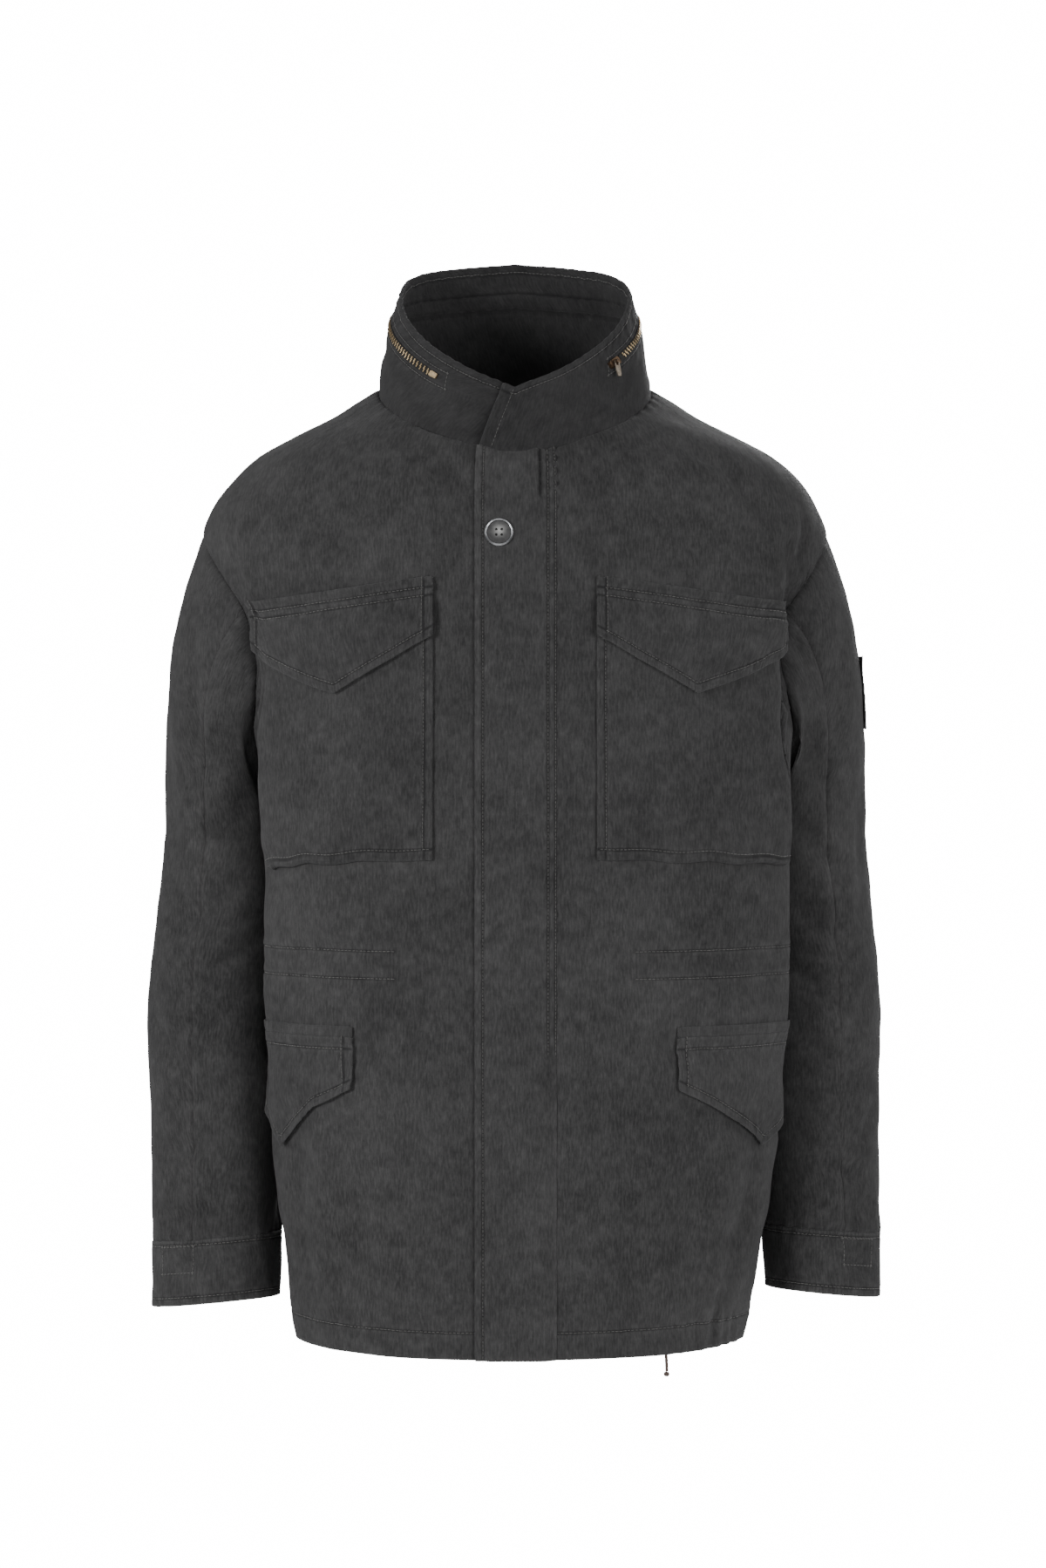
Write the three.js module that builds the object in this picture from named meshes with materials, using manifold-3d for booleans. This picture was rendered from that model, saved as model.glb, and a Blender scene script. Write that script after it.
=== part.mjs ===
// Field jacket with a stand collar, in the form that it has when it is worn.
// Millimetres, +Z up. The origin lies midway between the shoulders, level with the base of the neck.
// The front faces -Y, and the wearer's right side is at -X.
import * as THREE from "three";
import { mergeVertices } from "three/addons/utils/BufferGeometryUtils.js";
import Module from "manifold-3d";

const wasm = await Module();
wasm.setup();

// Cloth and seams
const clothThick = 1.6;
const collarThick = 3;
const cuffThick = 2.4;
const seamGap = 0.3;
const layGap = 0.5;

// Body sections from the neck down. left and right are half widths, front and back are depths.
// round is the corner exponent, 1 for an ellipse and less for squarer corners.
// tuckLeft and tuckRight are the share of the width that the arms press in behind tuckFrom.
const sections = [
  { z: 12, left: 95, right: 95, front: 8, back: 86, round: 1, tuckLeft: 0, tuckRight: 0 },
  { z: 0, left: 113, right: 113, front: 26, back: 100, round: 1, tuckLeft: 0, tuckRight: 0 },
  { z: -12, left: 133, right: 134, front: 58, back: 107, round: 1, tuckLeft: 0, tuckRight: 0 },
  { z: -26, left: 155, right: 157, front: 79, back: 113, round: 1, tuckLeft: 0, tuckRight: 0 },
  { z: -42, left: 187, right: 188, front: 92, back: 119, round: 0.98, tuckLeft: 0, tuckRight: 0 },
  { z: -57, left: 215, right: 215, front: 103, back: 124, round: 0.96, tuckLeft: 0, tuckRight: 0 },
  { z: -77, left: 236, right: 238, front: 113, back: 129, round: 0.92, tuckLeft: 0, tuckRight: 0 },
  { z: -100, left: 252, right: 252, front: 121, back: 133, round: 0.88, tuckLeft: 0, tuckRight: 0 },
  { z: -122, left: 260, right: 260, front: 127, back: 137, round: 0.85, tuckLeft: 0, tuckRight: 0 },
  { z: -160, left: 256, right: 259, front: 135, back: 141, round: 0.82, tuckLeft: 0.03, tuckRight: 0.03 },
  { z: -200, left: 244, right: 251, front: 141, back: 143, round: 0.8, tuckLeft: 0.09, tuckRight: 0.1 },
  { z: -260, left: 229, right: 243, front: 145, back: 144, round: 0.79, tuckLeft: 0.16, tuckRight: 0.2 },
  { z: -335, left: 222, right: 240, front: 147, back: 143, round: 0.78, tuckLeft: 0.21, tuckRight: 0.27 },
  { z: -400, left: 218, right: 240, front: 148, back: 141, round: 0.78, tuckLeft: 0.21, tuckRight: 0.28 },
  { z: -480, left: 217, right: 239, front: 148, back: 139, round: 0.78, tuckLeft: 0.2, tuckRight: 0.27 },
  { z: -560, left: 215, right: 235, front: 149, back: 141, round: 0.78, tuckLeft: 0.18, tuckRight: 0.24 },
  { z: -640, left: 209, right: 226, front: 150, back: 145, round: 0.78, tuckLeft: 0.14, tuckRight: 0.18 },
  { z: -710, left: 200, right: 214, front: 151, back: 149, round: 0.79, tuckLeft: 0.09, tuckRight: 0.11 },
  { z: -760, left: 193, right: 203, front: 151, back: 151, round: 0.8, tuckLeft: 0.06, tuckRight: 0.07 },
  { z: -790, left: 187, right: 196, front: 148, back: 150, round: 0.8, tuckLeft: 0.05, tuckRight: 0.05 },
];
const tuckFrom = -75;
const tuckTo = 15;

// Rows of the body panels from hem to neck. front, side and back are heights at the centre front,
// at the panel's side edge and at the centre back. fore and aft are the turns, in degrees from the
// centre front, where the front panel ends and the back panel starts.
const rows = [
  { front: -789, side: -786, back: -789, fore: 93, aft: 93 },
  { front: -767, side: -764, back: -767, fore: 93, aft: 93 },
  { front: -730, side: -728, back: -730, fore: 93, aft: 93 },
  { front: -680, side: -678, back: -680, fore: 93, aft: 93 },
  { front: -625, side: -625, back: -625, fore: 93, aft: 93 },
  { front: -575, side: -575, back: -575, fore: 93, aft: 93 },
  { front: -525, side: -525, back: -525, fore: 93, aft: 93 },
  { front: -483, side: -483, back: -480, fore: 93, aft: 93 },
  { front: -461, side: -461, back: -455, fore: 93, aft: 93 },
  { front: -424, side: -428, back: -418, fore: 93, aft: 93 },
  { front: -386, side: -394, back: -380, fore: 93, aft: 93 },
  { front: -350, side: -364, back: -345, fore: 93, aft: 93 },
  { front: -316, side: -335, back: -312, fore: 93, aft: 93 },
  { front: -290, side: -318, back: -285, fore: 84, aft: 101 },
  { front: -262, side: -296, back: -258, fore: 75, aft: 109 },
  { front: -236, side: -270, back: -232, fore: 67, aft: 115 },
  { front: -210, side: -242, back: -206, fore: 62, aft: 118 },
  { front: -186, side: -214, back: -180, fore: 60, aft: 118 },
  { front: -163, side: -188, back: -155, fore: 61, aft: 116 },
  { front: -143, side: -166, back: -132, fore: 66, aft: 112 },
  { front: -125, side: -147, back: -110, fore: 73, aft: 106 },
  { front: -109, side: -132, back: -90, fore: 81, aft: 99 },
  { front: -96, side: -122, back: -72, fore: 90, aft: 90 },
  { front: -84, side: -94, back: -52, fore: 90, aft: 90 },
  { front: -74, side: -66, back: -33, fore: 90, aft: 90 },
  { front: -66, side: -40, back: -16, fore: 90, aft: 90 },
  { front: -60, side: -16, back: -2, fore: 90, aft: 90 },
  { front: -57, side: 0, back: 10, fore: 90, aft: 90 },
];
const underarmRow = 12;
const tipRow = 22;
const neckRow = 27;
const rowBend = 1.25;

// Columns of a front panel, as distances from the centre front, then shares of the rest.
const frontReach = [0, 17, 33, 66, 98, 131, 160];
const pocketReach = [0.35, 0.7, 1];
const sideReach = [0.33, 0.67, 1];
const pocketTurn = 64;
const armholeMargin = 3;
const backColumns = 17;

// The largest folds: soft troughs between two places on the body, each a turn and a height.
// A depth below 0 is a ridge.
const folds = [
  { turnA: 66, zA: -112, turnB: 55, zB: -250, depth: 5, width: 11 },
  { turnA: -60, zA: -90, turnB: -56, zB: -185, depth: -2.5, width: 9 },
  { turnA: -66, zA: -130, turnB: -50, zB: -215, depth: 4, width: 12 },
  { turnA: -30, zA: -34, turnB: -9, zB: -66, depth: 4, width: 9 },
  { turnA: 27, zA: -36, turnB: 11, zB: -62, depth: 3, width: 9 },
  { turnA: -40, zA: -440, turnB: -62, zB: -530, depth: 3, width: 16 },
  { turnA: 46, zA: -430, turnB: 60, zB: -515, depth: 3.5, width: 16 },
  { turnA: -35, zA: -560, turnB: -30, zB: -760, depth: 4, width: 22 },
  { turnA: 30, zA: -600, turnB: 38, zB: -770, depth: 4, width: 20 },
  { turnA: 118, zA: -190, turnB: 138, zB: -330, depth: 8, width: 18 },
  { turnA: -117, zA: -200, turnB: -141, zB: -350, depth: 8, width: 19 },
  { turnA: 112, zA: -330, turnB: 150, zB: -420, depth: 5, width: 20 },
  { turnA: -110, zA: -345, turnB: -148, zB: -440, depth: 5, width: 18 },
  { turnA: 165, zA: -300, turnB: 172, zB: -640, depth: 5, width: 26 },
  { turnA: -158, zA: -420, turnB: -165, zB: -770, depth: 6, width: 24 },
  { turnA: 140, zA: -520, turnB: 134, zB: -780, depth: 6, width: 24 },
];
const foldArm = 150;

// Sleeve sections from the bicep to the cuff seam. x, y is the middle, half widths are across and along Y.
const sleeveSections = {
  right: [
    { z: -372, x: 239, y: 28, across: 56, along: 76 },
    { z: -440, x: 244, y: 27, across: 58.5, along: 73 },
    { z: -515, x: 249.5, y: 21, across: 60, along: 68 },
    { z: -586, x: 249, y: 13, across: 58.5, along: 63 },
    { z: -650, x: 249, y: 4, across: 56, along: 58 },
    { z: -709, x: 249.5, y: -5, across: 54.5, along: 51 },
    { z: -762, x: 250, y: -10, across: 54, along: 47 },
  ],
  left: [
    { z: -372, x: 242, y: 30, across: 54, along: 75 },
    { z: -440, x: 248.5, y: 29, across: 54, along: 72 },
    { z: -515, x: 254, y: 24, across: 55, along: 68 },
    { z: -586, x: 253.5, y: 17, across: 54, along: 64 },
    { z: -650, x: 255, y: 8, across: 51.5, along: 60 },
    { z: -703, x: 257, y: 0, across: 50, along: 56 },
    { z: -755, x: 258, y: -4, across: 48.5, along: 54 },
  ],
};
const loopParts = 20;
const capSteps = [0, 0.1, 0.22, 0.36, 0.52, 0.7, 0.86];
const capPull = 0.33;
const tipDirection = { out: 0.36, down: 0.93 };
const sideDirection = { out: 0.72, down: 0.66 };
const armpitDirection = { out: 0.3, down: 0.95 };
const frontSeam = 4;
const backSeam = 14;
const cuffDrop = { out: 0.09, back: 0.1 };

// Collar. The top edge is a loop of its own, whose height follows the turn from the centre front.
const collarTop = { across: 96, front: 97, back: 80 };
const collarEdge = [
  { turn: 0, z: -6 },
  { turn: 24, z: 11 },
  { turn: 48, z: 33 },
  { turn: 72, z: 59 },
  { turn: 90, z: 76 },
  { turn: 120, z: 92 },
  { turn: 150, z: 105 },
  { turn: 180, z: 112 },
];
const collarRows = [0, 0.33, 0.66, 0.74, 0.88, 1];
const collarSwell = 3;
const collarUnderEnd = 15;
const collarOverEnd = { foot: -25, top: -8 };
const collarLap = { lift: 3.9, from: 12, to: 42 };
const collarColumns = 36;
const collarSeat = 0.7;
const zipChain = { low: 2, high: 3, from: 6, to: 31, thick: 1.3 };

// Fly, pockets and flaps. Columns and rows are places in the tables above, drops are lengths.
const fly = { edges: [-31.5, -16, 0, 17, 34], thick: 1.8, gap: 0.6, top: 26.4 };
const pocket = {
  columns: [3, 4, 5, 6, 7, 8, 8.85, 9], rows: [10, 10.12, 11, 12, 13, 14, 15, 16, 17],
  thick: 1.6, base: 1.9, upper: 2.6, lower: 6,
};
const chestFlap = {
  columns: [3, 4, 5, 5.5, 6, 7, 8, 9], top: 18.35, thick: 2, gap: 0.8, flare: 1.6,
  drops: [{ at: 3, drop: 47 }, { at: 5.5, drop: 82 }, { at: 9, drop: 38 }],
};
const hipFlap = {
  columns: [5, 6, 7, 8, 8.25, 9, 10, 11, 12], top: -531, thick: 2, flare: 2,
  drops: [{ at: 5, drop: 41 }, { at: 8.25, drop: 91 }, { at: 12, drop: 41 }],
};
const hipWelt = { columns: [5, 6, 7, 8, 9, 10, 11, 12], top: -522.6, bottom: -530.4, thick: 1.6 };
const flapLevels = 4;

// Button: a four-hole disc in a metal rim, sewn on the fly
const button = { x: -12.6, z: -125.4, radius: 11.5, rim: 1.6, high: 3.4, disc: 2.2, hole: 1.1, holeAt: 2.2 };

// Zip slider, its pull on a bridge, and the end stop
const slider = { column: 5.6, across: 6.4, length: 12, thick: 3.2, base: 0.2 };
const bridge = { inner: 1.2, outer: 2.1, wide: 1.5, rise: 1.5 };
const pull = { wide: 4.8, length: 13, thick: 1.1, window: 3, windowWide: 2.4 };
const zipStop = { column: 31.3, across: 4.4, length: 8, thick: 1.8 };

// Drawcord in the hem, with its eyelet inside the left front. The route runs sideways, inwards and up.
const eyelet = { x: 127.4, z: -773, hole: 1.9, radius: 4.6, thick: 1, behind: 1.3 };
const cordWidth = 2.6;
const cordSteps = 12;
const knot = { radius: 2.6, half: 2.2 };
const cordRoute = [
  [0, 1.6, 0], [0, 3.7, -0.4], [0, 5.6, -1.6], [0, 6.8, -3.5], [0, 7.2, -5.6], [0.1, 7.1, -9],
  [0.2, 6.9, -13], [0.4, 6.6, -17], [0.7, 6.2, -21], [1.1, 5.9, -25], [1.5, 5.7, -29], [1.8, 5.6, -32],
];

// Small pocket on the left upper sleeve
const sleevePocket = { top: -224, bottom: -284, from: -1.6, to: 1.2, thick: 1.8, parts: 5, levels: 4 };

const cloth = { color: 0x3a3a3d, roughness: 0.86, metalness: 0 };
const degree = Math.PI / 180;
const group = new THREE.Group();

const mix = (a, b, t) => a + (b - a) * t;
const clamp01 = (t) => Math.min(1, Math.max(0, t));
const smooth = (t) => clamp01(t) ** 2 * (3 - 2 * clamp01(t));

function slopeAt(table, at, key, i) {
  const a = table[Math.max(0, i - 1)];
  const b = table[Math.min(table.length - 1, i + 1)];
  return (b[key] - a[key]) / (b[at] - a[at]);
}

// A smooth curve through one column of a table, read at a value of another column.
function curve(table, at, key, value) {
  const rising = table[1][at] > table[0][at];
  let i = 0;
  while (i < table.length - 2 && value > table[i + 1][at] === rising) i++;
  const a = table[i];
  const b = table[i + 1];
  const span = b[at] - a[at];
  const t = (value - a[at]) / span;
  if (t < 0) return a[key] + slopeAt(table, at, key, i) * (value - a[at]);
  if (t > 1) return b[key] + slopeAt(table, at, key, i + 1) * (value - b[at]);
  const slopeA = slopeAt(table, at, key, i) * span;
  const slopeB = slopeAt(table, at, key, i + 1) * span;
  const t2 = t * t;
  const t3 = t2 * t;
  return (2 * t3 - 3 * t2 + 1) * a[key] + (t3 - 2 * t2 + t) * slopeA
    + (3 * t2 - 2 * t3) * b[key] + (t3 - t2) * slopeB;
}

rows.forEach((row, i) => { row.at = i; });
const rowValue = (key, at) => curve(rows, "at", key, at);

// The body's form without folds, at a turn in degrees and a height.
function plainPoint(turn, z) {
  const s = Math.abs(Math.sin(turn * degree));
  const c = Math.cos(turn * degree);
  const hand = Math.sin(turn * degree) < 0 ? -1 : 1;
  const read = (key) => curve(sections, "z", key, z);
  const round = read("round");
  const half = hand < 0 ? read("left") : read("right");
  const tuck = hand < 0 ? read("tuckLeft") : read("tuckRight");
  const depth = c > 0 ? -read("front") : read("back");
  const y = depth * Math.abs(c) ** round;
  const pressed = 1 - tuck * smooth((y - tuckFrom) / (tuckTo - tuckFrom));
  return new THREE.Vector3(hand * half * s ** round * pressed, y, z);
}

function normalOf(form, turn, z) {
  const across = form(turn + 0.6, z).sub(form(turn - 0.6, z));
  const up = form(turn, z + 1).sub(form(turn, z - 1));
  return across.cross(up).normalize();
}

function foldDepth(turn, z) {
  let depth = 0;
  for (const fold of folds) {
    const a = new THREE.Vector2(fold.turnA * degree * foldArm, fold.zA);
    const b = new THREE.Vector2(fold.turnB * degree * foldArm, fold.zB);
    const p = new THREE.Vector2(turn * degree * foldArm, z);
    const run = b.clone().sub(a);
    const t = p.clone().sub(a).dot(run) / run.lengthSq();
    if (t < 0 || t > 1) continue;
    const away = p.distanceTo(a.addScaledVector(run, t)) / fold.width;
    depth += fold.depth * Math.exp(-away * away) * Math.sin(Math.PI * t) ** 0.8;
  }
  return depth;
}

function bodyPoint(turn, z) {
  const wrapped = turn > 180 ? turn - 360 : turn;
  const depth = foldDepth(wrapped, z);
  const p = plainPoint(wrapped, z);
  return depth ? p.addScaledVector(normalOf(plainPoint, wrapped, z), -depth) : p;
}

const bodySpot = (turn, z) => ({ p: bodyPoint(turn, z), n: normalOf(bodyPoint, turn, z) });

// The turn at which a front panel is a given distance from the centre.
function turnAtReach(reach, z, hand) {
  const half = curve(sections, "z", hand < 0 ? "left" : "right", z);
  const share = Math.min(0.93, reach / half) ** (1 / curve(sections, "z", "round", z));
  return Math.asin(share) / degree;
}

// The turn of a front column at a row; both may lie between whole numbers.
function columnTurn(column, at, hand) {
  const z = rowValue("front", at);
  const fore = rowValue("fore", at);
  const edge = Math.min(pocketTurn, fore - armholeMargin);
  const high = smooth((at - neckRow + 9) / 9);
  const wideTurn = turnAtReach(frontReach[6], z, hand);
  const lastFlat = mix(wideTurn, fore * 0.62, high);
  const flat = frontReach.length - 1;
  const part = (list, i) => (i < 0 ? 0 : list[i]);
  const whole = (k) => {
    if (k <= flat) {
      const low = turnAtReach(frontReach[k], z, hand);
      return mix(low, lastFlat * frontReach[k] / frontReach[flat], high);
    }
    const start = Math.min(lastFlat, edge - 2);
    if (k <= flat + pocketReach.length) return mix(start, edge, part(pocketReach, k - flat - 1));
    return mix(edge, fore, part(sideReach, k - flat - pocketReach.length - 1));
  };
  const k = Math.floor(column);
  const t = column - k;
  return t ? mix(whole(k), whole(k + 1), t) : whole(k);
}

const frontColumns = frontReach.length + pocketReach.length + sideReach.length;

function frontHeight(turn, at) {
  const share = clamp01(turn / rowValue("fore", at));
  return mix(rowValue("front", at), rowValue("side", at), Math.sin(share * 90 * degree) ** rowBend);
}

// A place on a front panel, moved out by a lift.
function frontSpot(hand, column, at, lift = 0) {
  const turn = columnTurn(column, at, hand);
  const spot = bodySpot(hand * turn, frontHeight(turn, at));
  spot.p.addScaledVector(spot.n, lift);
  return spot;
}

function backSpot(share, at) {
  const aft = rowValue("aft", at);
  const turn = mix(aft, 360 - aft, share);
  const away = clamp01(Math.abs(turn - 180) / (180 - aft));
  const z = mix(rowValue("back", at), rowValue("side", at), Math.sin(away * 90 * degree) ** rowBend);
  return bodySpot(turn, z);
}

// A wall from a grid of outer points with their normals, row by row from the bottom, left to right.
function wallGeometry(grid, thick, closed = false) {
  const high = grid.length;
  const wide = grid[0].length;
  const points = [];
  for (const inner of [0, 1]) {
    for (const row of grid) {
      for (const { p, n } of row) points.push(p.clone().addScaledVector(n, -inner * thick));
    }
  }
  const outer = (r, c) => r * wide + (c % wide);
  const inner = (r, c) => high * wide + outer(r, c);
  const faces = [];
  const quad = (a, b, c, d) => faces.push(a, b, c, a, c, d);
  const spans = closed ? wide : wide - 1;
  for (let r = 0; r < high - 1; r++) {
    for (let c = 0; c < spans; c++) {
      quad(outer(r, c), outer(r, c + 1), outer(r + 1, c + 1), outer(r + 1, c));
      quad(inner(r, c), inner(r + 1, c), inner(r + 1, c + 1), inner(r, c + 1));
    }
  }
  for (let c = 0; c < spans; c++) {
    quad(outer(0, c), inner(0, c), inner(0, c + 1), outer(0, c + 1));
    quad(outer(high - 1, c), outer(high - 1, c + 1), inner(high - 1, c + 1), inner(high - 1, c));
  }
  for (let r = 0; r < high - 1 && !closed; r++) {
    quad(outer(r, 0), outer(r + 1, 0), inner(r + 1, 0), inner(r, 0));
    quad(outer(r, wide - 1), inner(r, wide - 1), inner(r + 1, wide - 1), outer(r + 1, wide - 1));
  }
  return solidGeometry(points, faces);
}

function solidGeometry(points, faces) {
  let volume = 0;
  for (let i = 0; i < faces.length; i += 3) {
    const [a, b, c] = [points[faces[i]], points[faces[i + 1]], points[faces[i + 2]]];
    volume += a.dot(b.clone().cross(c));
  }
  if (volume < 0) faces.reverse();
  const geometry = new THREE.BufferGeometry().setFromPoints(points);
  geometry.setIndex(faces);
  return geometry;
}

function addMesh(name, geometry, finish = cloth, parent = group) {
  const mesh = new THREE.Mesh(geometry, new THREE.MeshStandardMaterial(finish));
  mesh.name = name;
  parent.add(mesh);
  return mesh;
}

// Moves the end points of each row, or the end rows, back into the piece by half a seam gap.
function pullBack(a, b, gap = seamGap / 2) {
  a.p.add(b.p.clone().sub(a.p).setLength(gap));
}

function trim(grid, edges) {
  const last = grid.length - 1;
  const end = grid[0].length - 1;
  if (edges.includes("top")) grid[last].forEach((spot, c) => pullBack(spot, grid[last - 1][c]));
  if (edges.includes("bottom")) grid[0].forEach((spot, c) => pullBack(spot, grid[1][c]));
  if (edges.includes("left")) grid.forEach((row) => pullBack(row[0], row[1]));
  if (edges.includes("right")) grid.forEach((row) => pullBack(row[end], row[end - 1]));
  return grid;
}

// Normals of a free grid, averaged from its faces.
function gridNormals(points) {
  const at = (r, c) => points[Math.min(points.length - 1, Math.max(0, r))][
    Math.min(points[0].length - 1, Math.max(0, c))];
  return points.map((row, r) => row.map((p, c) => {
    const across = at(r, c + 1).clone().sub(at(r, c - 1));
    const up = at(r + 1, c).clone().sub(at(r - 1, c));
    return { p: p.clone(), n: across.cross(up).normalize() };
  }));
}

// Sleeves. A place is a part of the loop round the arm and a step from the armhole down.
// Part 0 is outermost, 5 in front, 10 against the body and 15 behind.
function armholeSpot(hand, part) {
  const around = ((part % loopParts) + loopParts) % loopParts;
  const half = loopParts / 2;
  const inFront = around <= half;
  const at = inFront ? tipRow - around : underarmRow + around - half;
  const turn = hand * rowValue(inFront ? "fore" : "aft", at);
  return bodySpot(turn, rowValue("side", at));
}

function sleeveRing(hand, part, z, table) {
  const angle = (part / loopParts) * 360 * degree;
  const read = (key) => curve(table, "z", key, z);
  const out = read("across") * Math.cos(angle);
  const back = -read("along") * Math.sin(angle);
  const low = smooth((-z - 560) / 190);
  const drop = low * (cuffDrop.out * out + cuffDrop.back * back);
  return new THREE.Vector3(hand * (read("x") + out), read("y") + back, z - drop);
}

function sleevePoint(hand, part, step) {
  const table = sleeveSections[hand < 0 ? "right" : "left"];
  const top = table[0].z;
  if (step >= 1) return sleeveRing(hand, part, top - (step - 1) * 100, table);
  const start = armholeSpot(hand, part).p;
  const end = sleeveRing(hand, part, top, table);
  const angle = (part / loopParts) * 360 * degree;
  const side = Math.abs(Math.sin(angle));
  const ends = Math.cos(angle) > 0 ? tipDirection : armpitDirection;
  const leave = new THREE.Vector3(hand * mix(ends.out, sideDirection.out, side), 0,
    -mix(ends.down, sideDirection.down, side)).normalize();
  const reach = capPull * start.distanceTo(end);
  const bend = new THREE.CubicBezierCurve3(start, start.clone().addScaledVector(leave, reach),
    end.clone().add(new THREE.Vector3(0, 0, reach)), end);
  return bend.getPoint(step);
}

function sleeveSpot(hand, part, step, lift = 0) {
  const down = step < 0.01 ? 0 : step - 0.01;
  const across = sleevePoint(hand, part + 0.1, step).sub(sleevePoint(hand, part - 0.1, step));
  const run = sleevePoint(hand, part, step + 0.01).sub(sleevePoint(hand, part, down));
  const n = across.cross(run).normalize().multiplyScalar(hand);
  return { p: sleevePoint(hand, part, step).addScaledVector(n, lift), n };
}

// Where the cloth runs on smoothly over the armhole seam, both pieces share one normal there.
function armholeNormal(hand, part, own) {
  const body = armholeSpot(hand, part).n;
  const sleeve = sleeveSpot(hand, part, 0).n;
  return body.dot(sleeve) > 0.1 ? body.add(sleeve).normalize() : own;
}

const sleeveSteps = (hand) => {
  const table = sleeveSections[hand < 0 ? "right" : "left"];
  const below = table.slice(0, -1).map((row) => 1 + (table[0].z - row.z) / 100);
  return [...capSteps, ...below];
};

function sleeveGrid(hand, fromPart, toPart, steps) {
  const seam = 0.006;
  const parts = [];
  for (let part = fromPart; part <= toPart; part++) parts.push(part);
  parts[0] += seam;
  parts[parts.length - 1] -= seam;
  if (hand < 0) parts.reverse();
  return steps.toReversed().map((step) => parts.toReversed().map((part) => {
    const spot = sleeveSpot(hand, part, step);
    if (step === 0) spot.n = armholeNormal(hand, part, spot.n);
    return spot;
  }));
}

function makeSleeve(hand, mark) {
  const steps = sleeveSteps(hand);
  const pieces = { sleeve_top: [backSeam - loopParts, frontSeam], sleeve_under: [frontSeam, backSeam] };
  for (const [name, [from, to]] of Object.entries(pieces)) {
    const grid = trim(sleeveGrid(hand, from, to, steps), ["top", "bottom"]);
    addMesh(`${name}_${mark}`, wallGeometry(grid, clothThick));
  }
}

function makeCuff(hand, mark) {
  const table = sleeveSections[hand < 0 ? "right" : "left"];
  const end = table.length - 1;
  const levels = [table[end].z, mix(table[end - 1].z, table[end].z, 0.5), table[end - 1].z];
  const parts = Array.from({ length: loopParts }, (_, i) => (hand < 0 ? i : -i));
  const grid = levels.map((z) => parts.map((part) =>
    sleeveSpot(hand, part, 1 + (table[0].z - z) / 100)));
  addMesh(`cuff_${mark}`, wallGeometry(trim(grid, ["top"]), cuffThick, true));
}

function makeSleevePocket() {
  const { top, bottom, from, to, thick, parts, levels } = sleevePocket;
  const grid = [];
  for (let r = 0; r <= levels; r++) {
    const z = mix(bottom, top, r / levels);
    const row = [];
    for (let c = 0; c <= parts; c++) {
      const part = mix(to, from, c / parts);
      let low = 0;
      let high = 1;
      for (let i = 0; i < 24; i++) {
        const middle = (low + high) / 2;
        if (sleevePoint(1, part, middle).z > z) low = middle;
        else high = middle;
      }
      row.push(sleeveSpot(1, part, low, layGap + thick));
    }
    grid.push(row);
  }
  addMesh("sleeve_pocket_L", wallGeometry(grid, thick));
}

// Body panels
function makeFront(hand, mark) {
  const grid = rows.map((_, at) => {
    const row = [];
    for (let k = 0; k < frontColumns; k++) row.push(frontSpot(hand, k, at));
    const seam = row[frontColumns - 1];
    if (at >= underarmRow && at <= tipRow) seam.n = armholeNormal(hand, tipRow - at, seam.n);
    return hand < 0 ? row.reverse() : row;
  });
  addMesh(`front_${mark}`, wallGeometry(trim(grid, ["left", "right", "top"]), clothThick));
}

function makeBack() {
  const grid = rows.map((_, at) => {
    const row = [];
    for (let k = 0; k < backColumns; k++) row.push(backSpot(k / (backColumns - 1), at));
    if (at >= underarmRow && at <= tipRow) {
      const part = loopParts / 2 + at - underarmRow;
      row[0].n = armholeNormal(1, part, row[0].n);
      row[backColumns - 1].n = armholeNormal(-1, part, row[backColumns - 1].n);
    }
    return row;
  });
  addMesh("back", wallGeometry(trim(grid, ["left", "right", "top"]), clothThick));
}

// Collar
const planTurn = (p) => Math.atan2(p.x, -p.y) / degree;

function neckBase(turn) {
  const away = Math.sin(Math.abs(turn) * degree);
  const row = rows[neckRow];
  const z = Math.abs(turn) <= 90
    ? mix(row.front, row.side, away ** rowBend)
    : mix(row.back, row.side, away ** rowBend);
  return bodyPoint(turn, z);
}

// The place on the neck seam that lies at a given turn in plan.
function neckAt(around) {
  const hand = around < 0 ? -1 : 1;
  let low = 0;
  let high = 180;
  for (let i = 0; i < 30; i++) {
    const middle = (low + high) / 2;
    if (planTurn(neckBase(hand * middle)) * hand < Math.abs(around)) low = middle;
    else high = middle;
  }
  return neckBase(hand * low);
}

// Columns run from the over end at the front, round the left side, the back and the right, to the under end.
function collarPoint(column, share) {
  const over = Math.asin(mix(collarOverEnd.foot, collarOverEnd.top, share) / collarTop.front) / degree;
  const under = 360 + Math.asin(collarUnderEnd / collarTop.front) / degree;
  const around = mix(over, under, column / collarColumns);
  const turn = around > 180 ? around - 360 : around;
  const depth = Math.abs(turn) < 90 ? collarTop.front : collarTop.back;
  const top = new THREE.Vector3(collarTop.across * Math.sin(turn * degree),
    -depth * Math.cos(turn * degree), curve(collarEdge, "turn", "z", Math.abs(turn)));
  const out = new THREE.Vector3(Math.sin(turn * degree), -Math.cos(turn * degree), 0);
  const lap = collarLap.lift * (1 - smooth((around - collarLap.from) / (collarLap.to - collarLap.from)));
  const swell = collarSwell * Math.sin(Math.PI * share);
  const base = neckAt(turn);
  base.z += collarSeat;
  return base.lerp(top, share).addScaledVector(out, swell + lap);
}

function collarGrid() {
  const points = collarRows.map((share) => Array.from({ length: collarColumns + 1 },
    (_, column) => collarPoint(column, share)));
  return gridNormals(points);
}

function makeCollar() {
  addMesh("collar", wallGeometry(trim(collarGrid(), ["bottom"]), collarThick));
}

// Zip round the collar
const brass = { color: 0x9a7440, roughness: 0.38, metalness: 1 };

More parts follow.
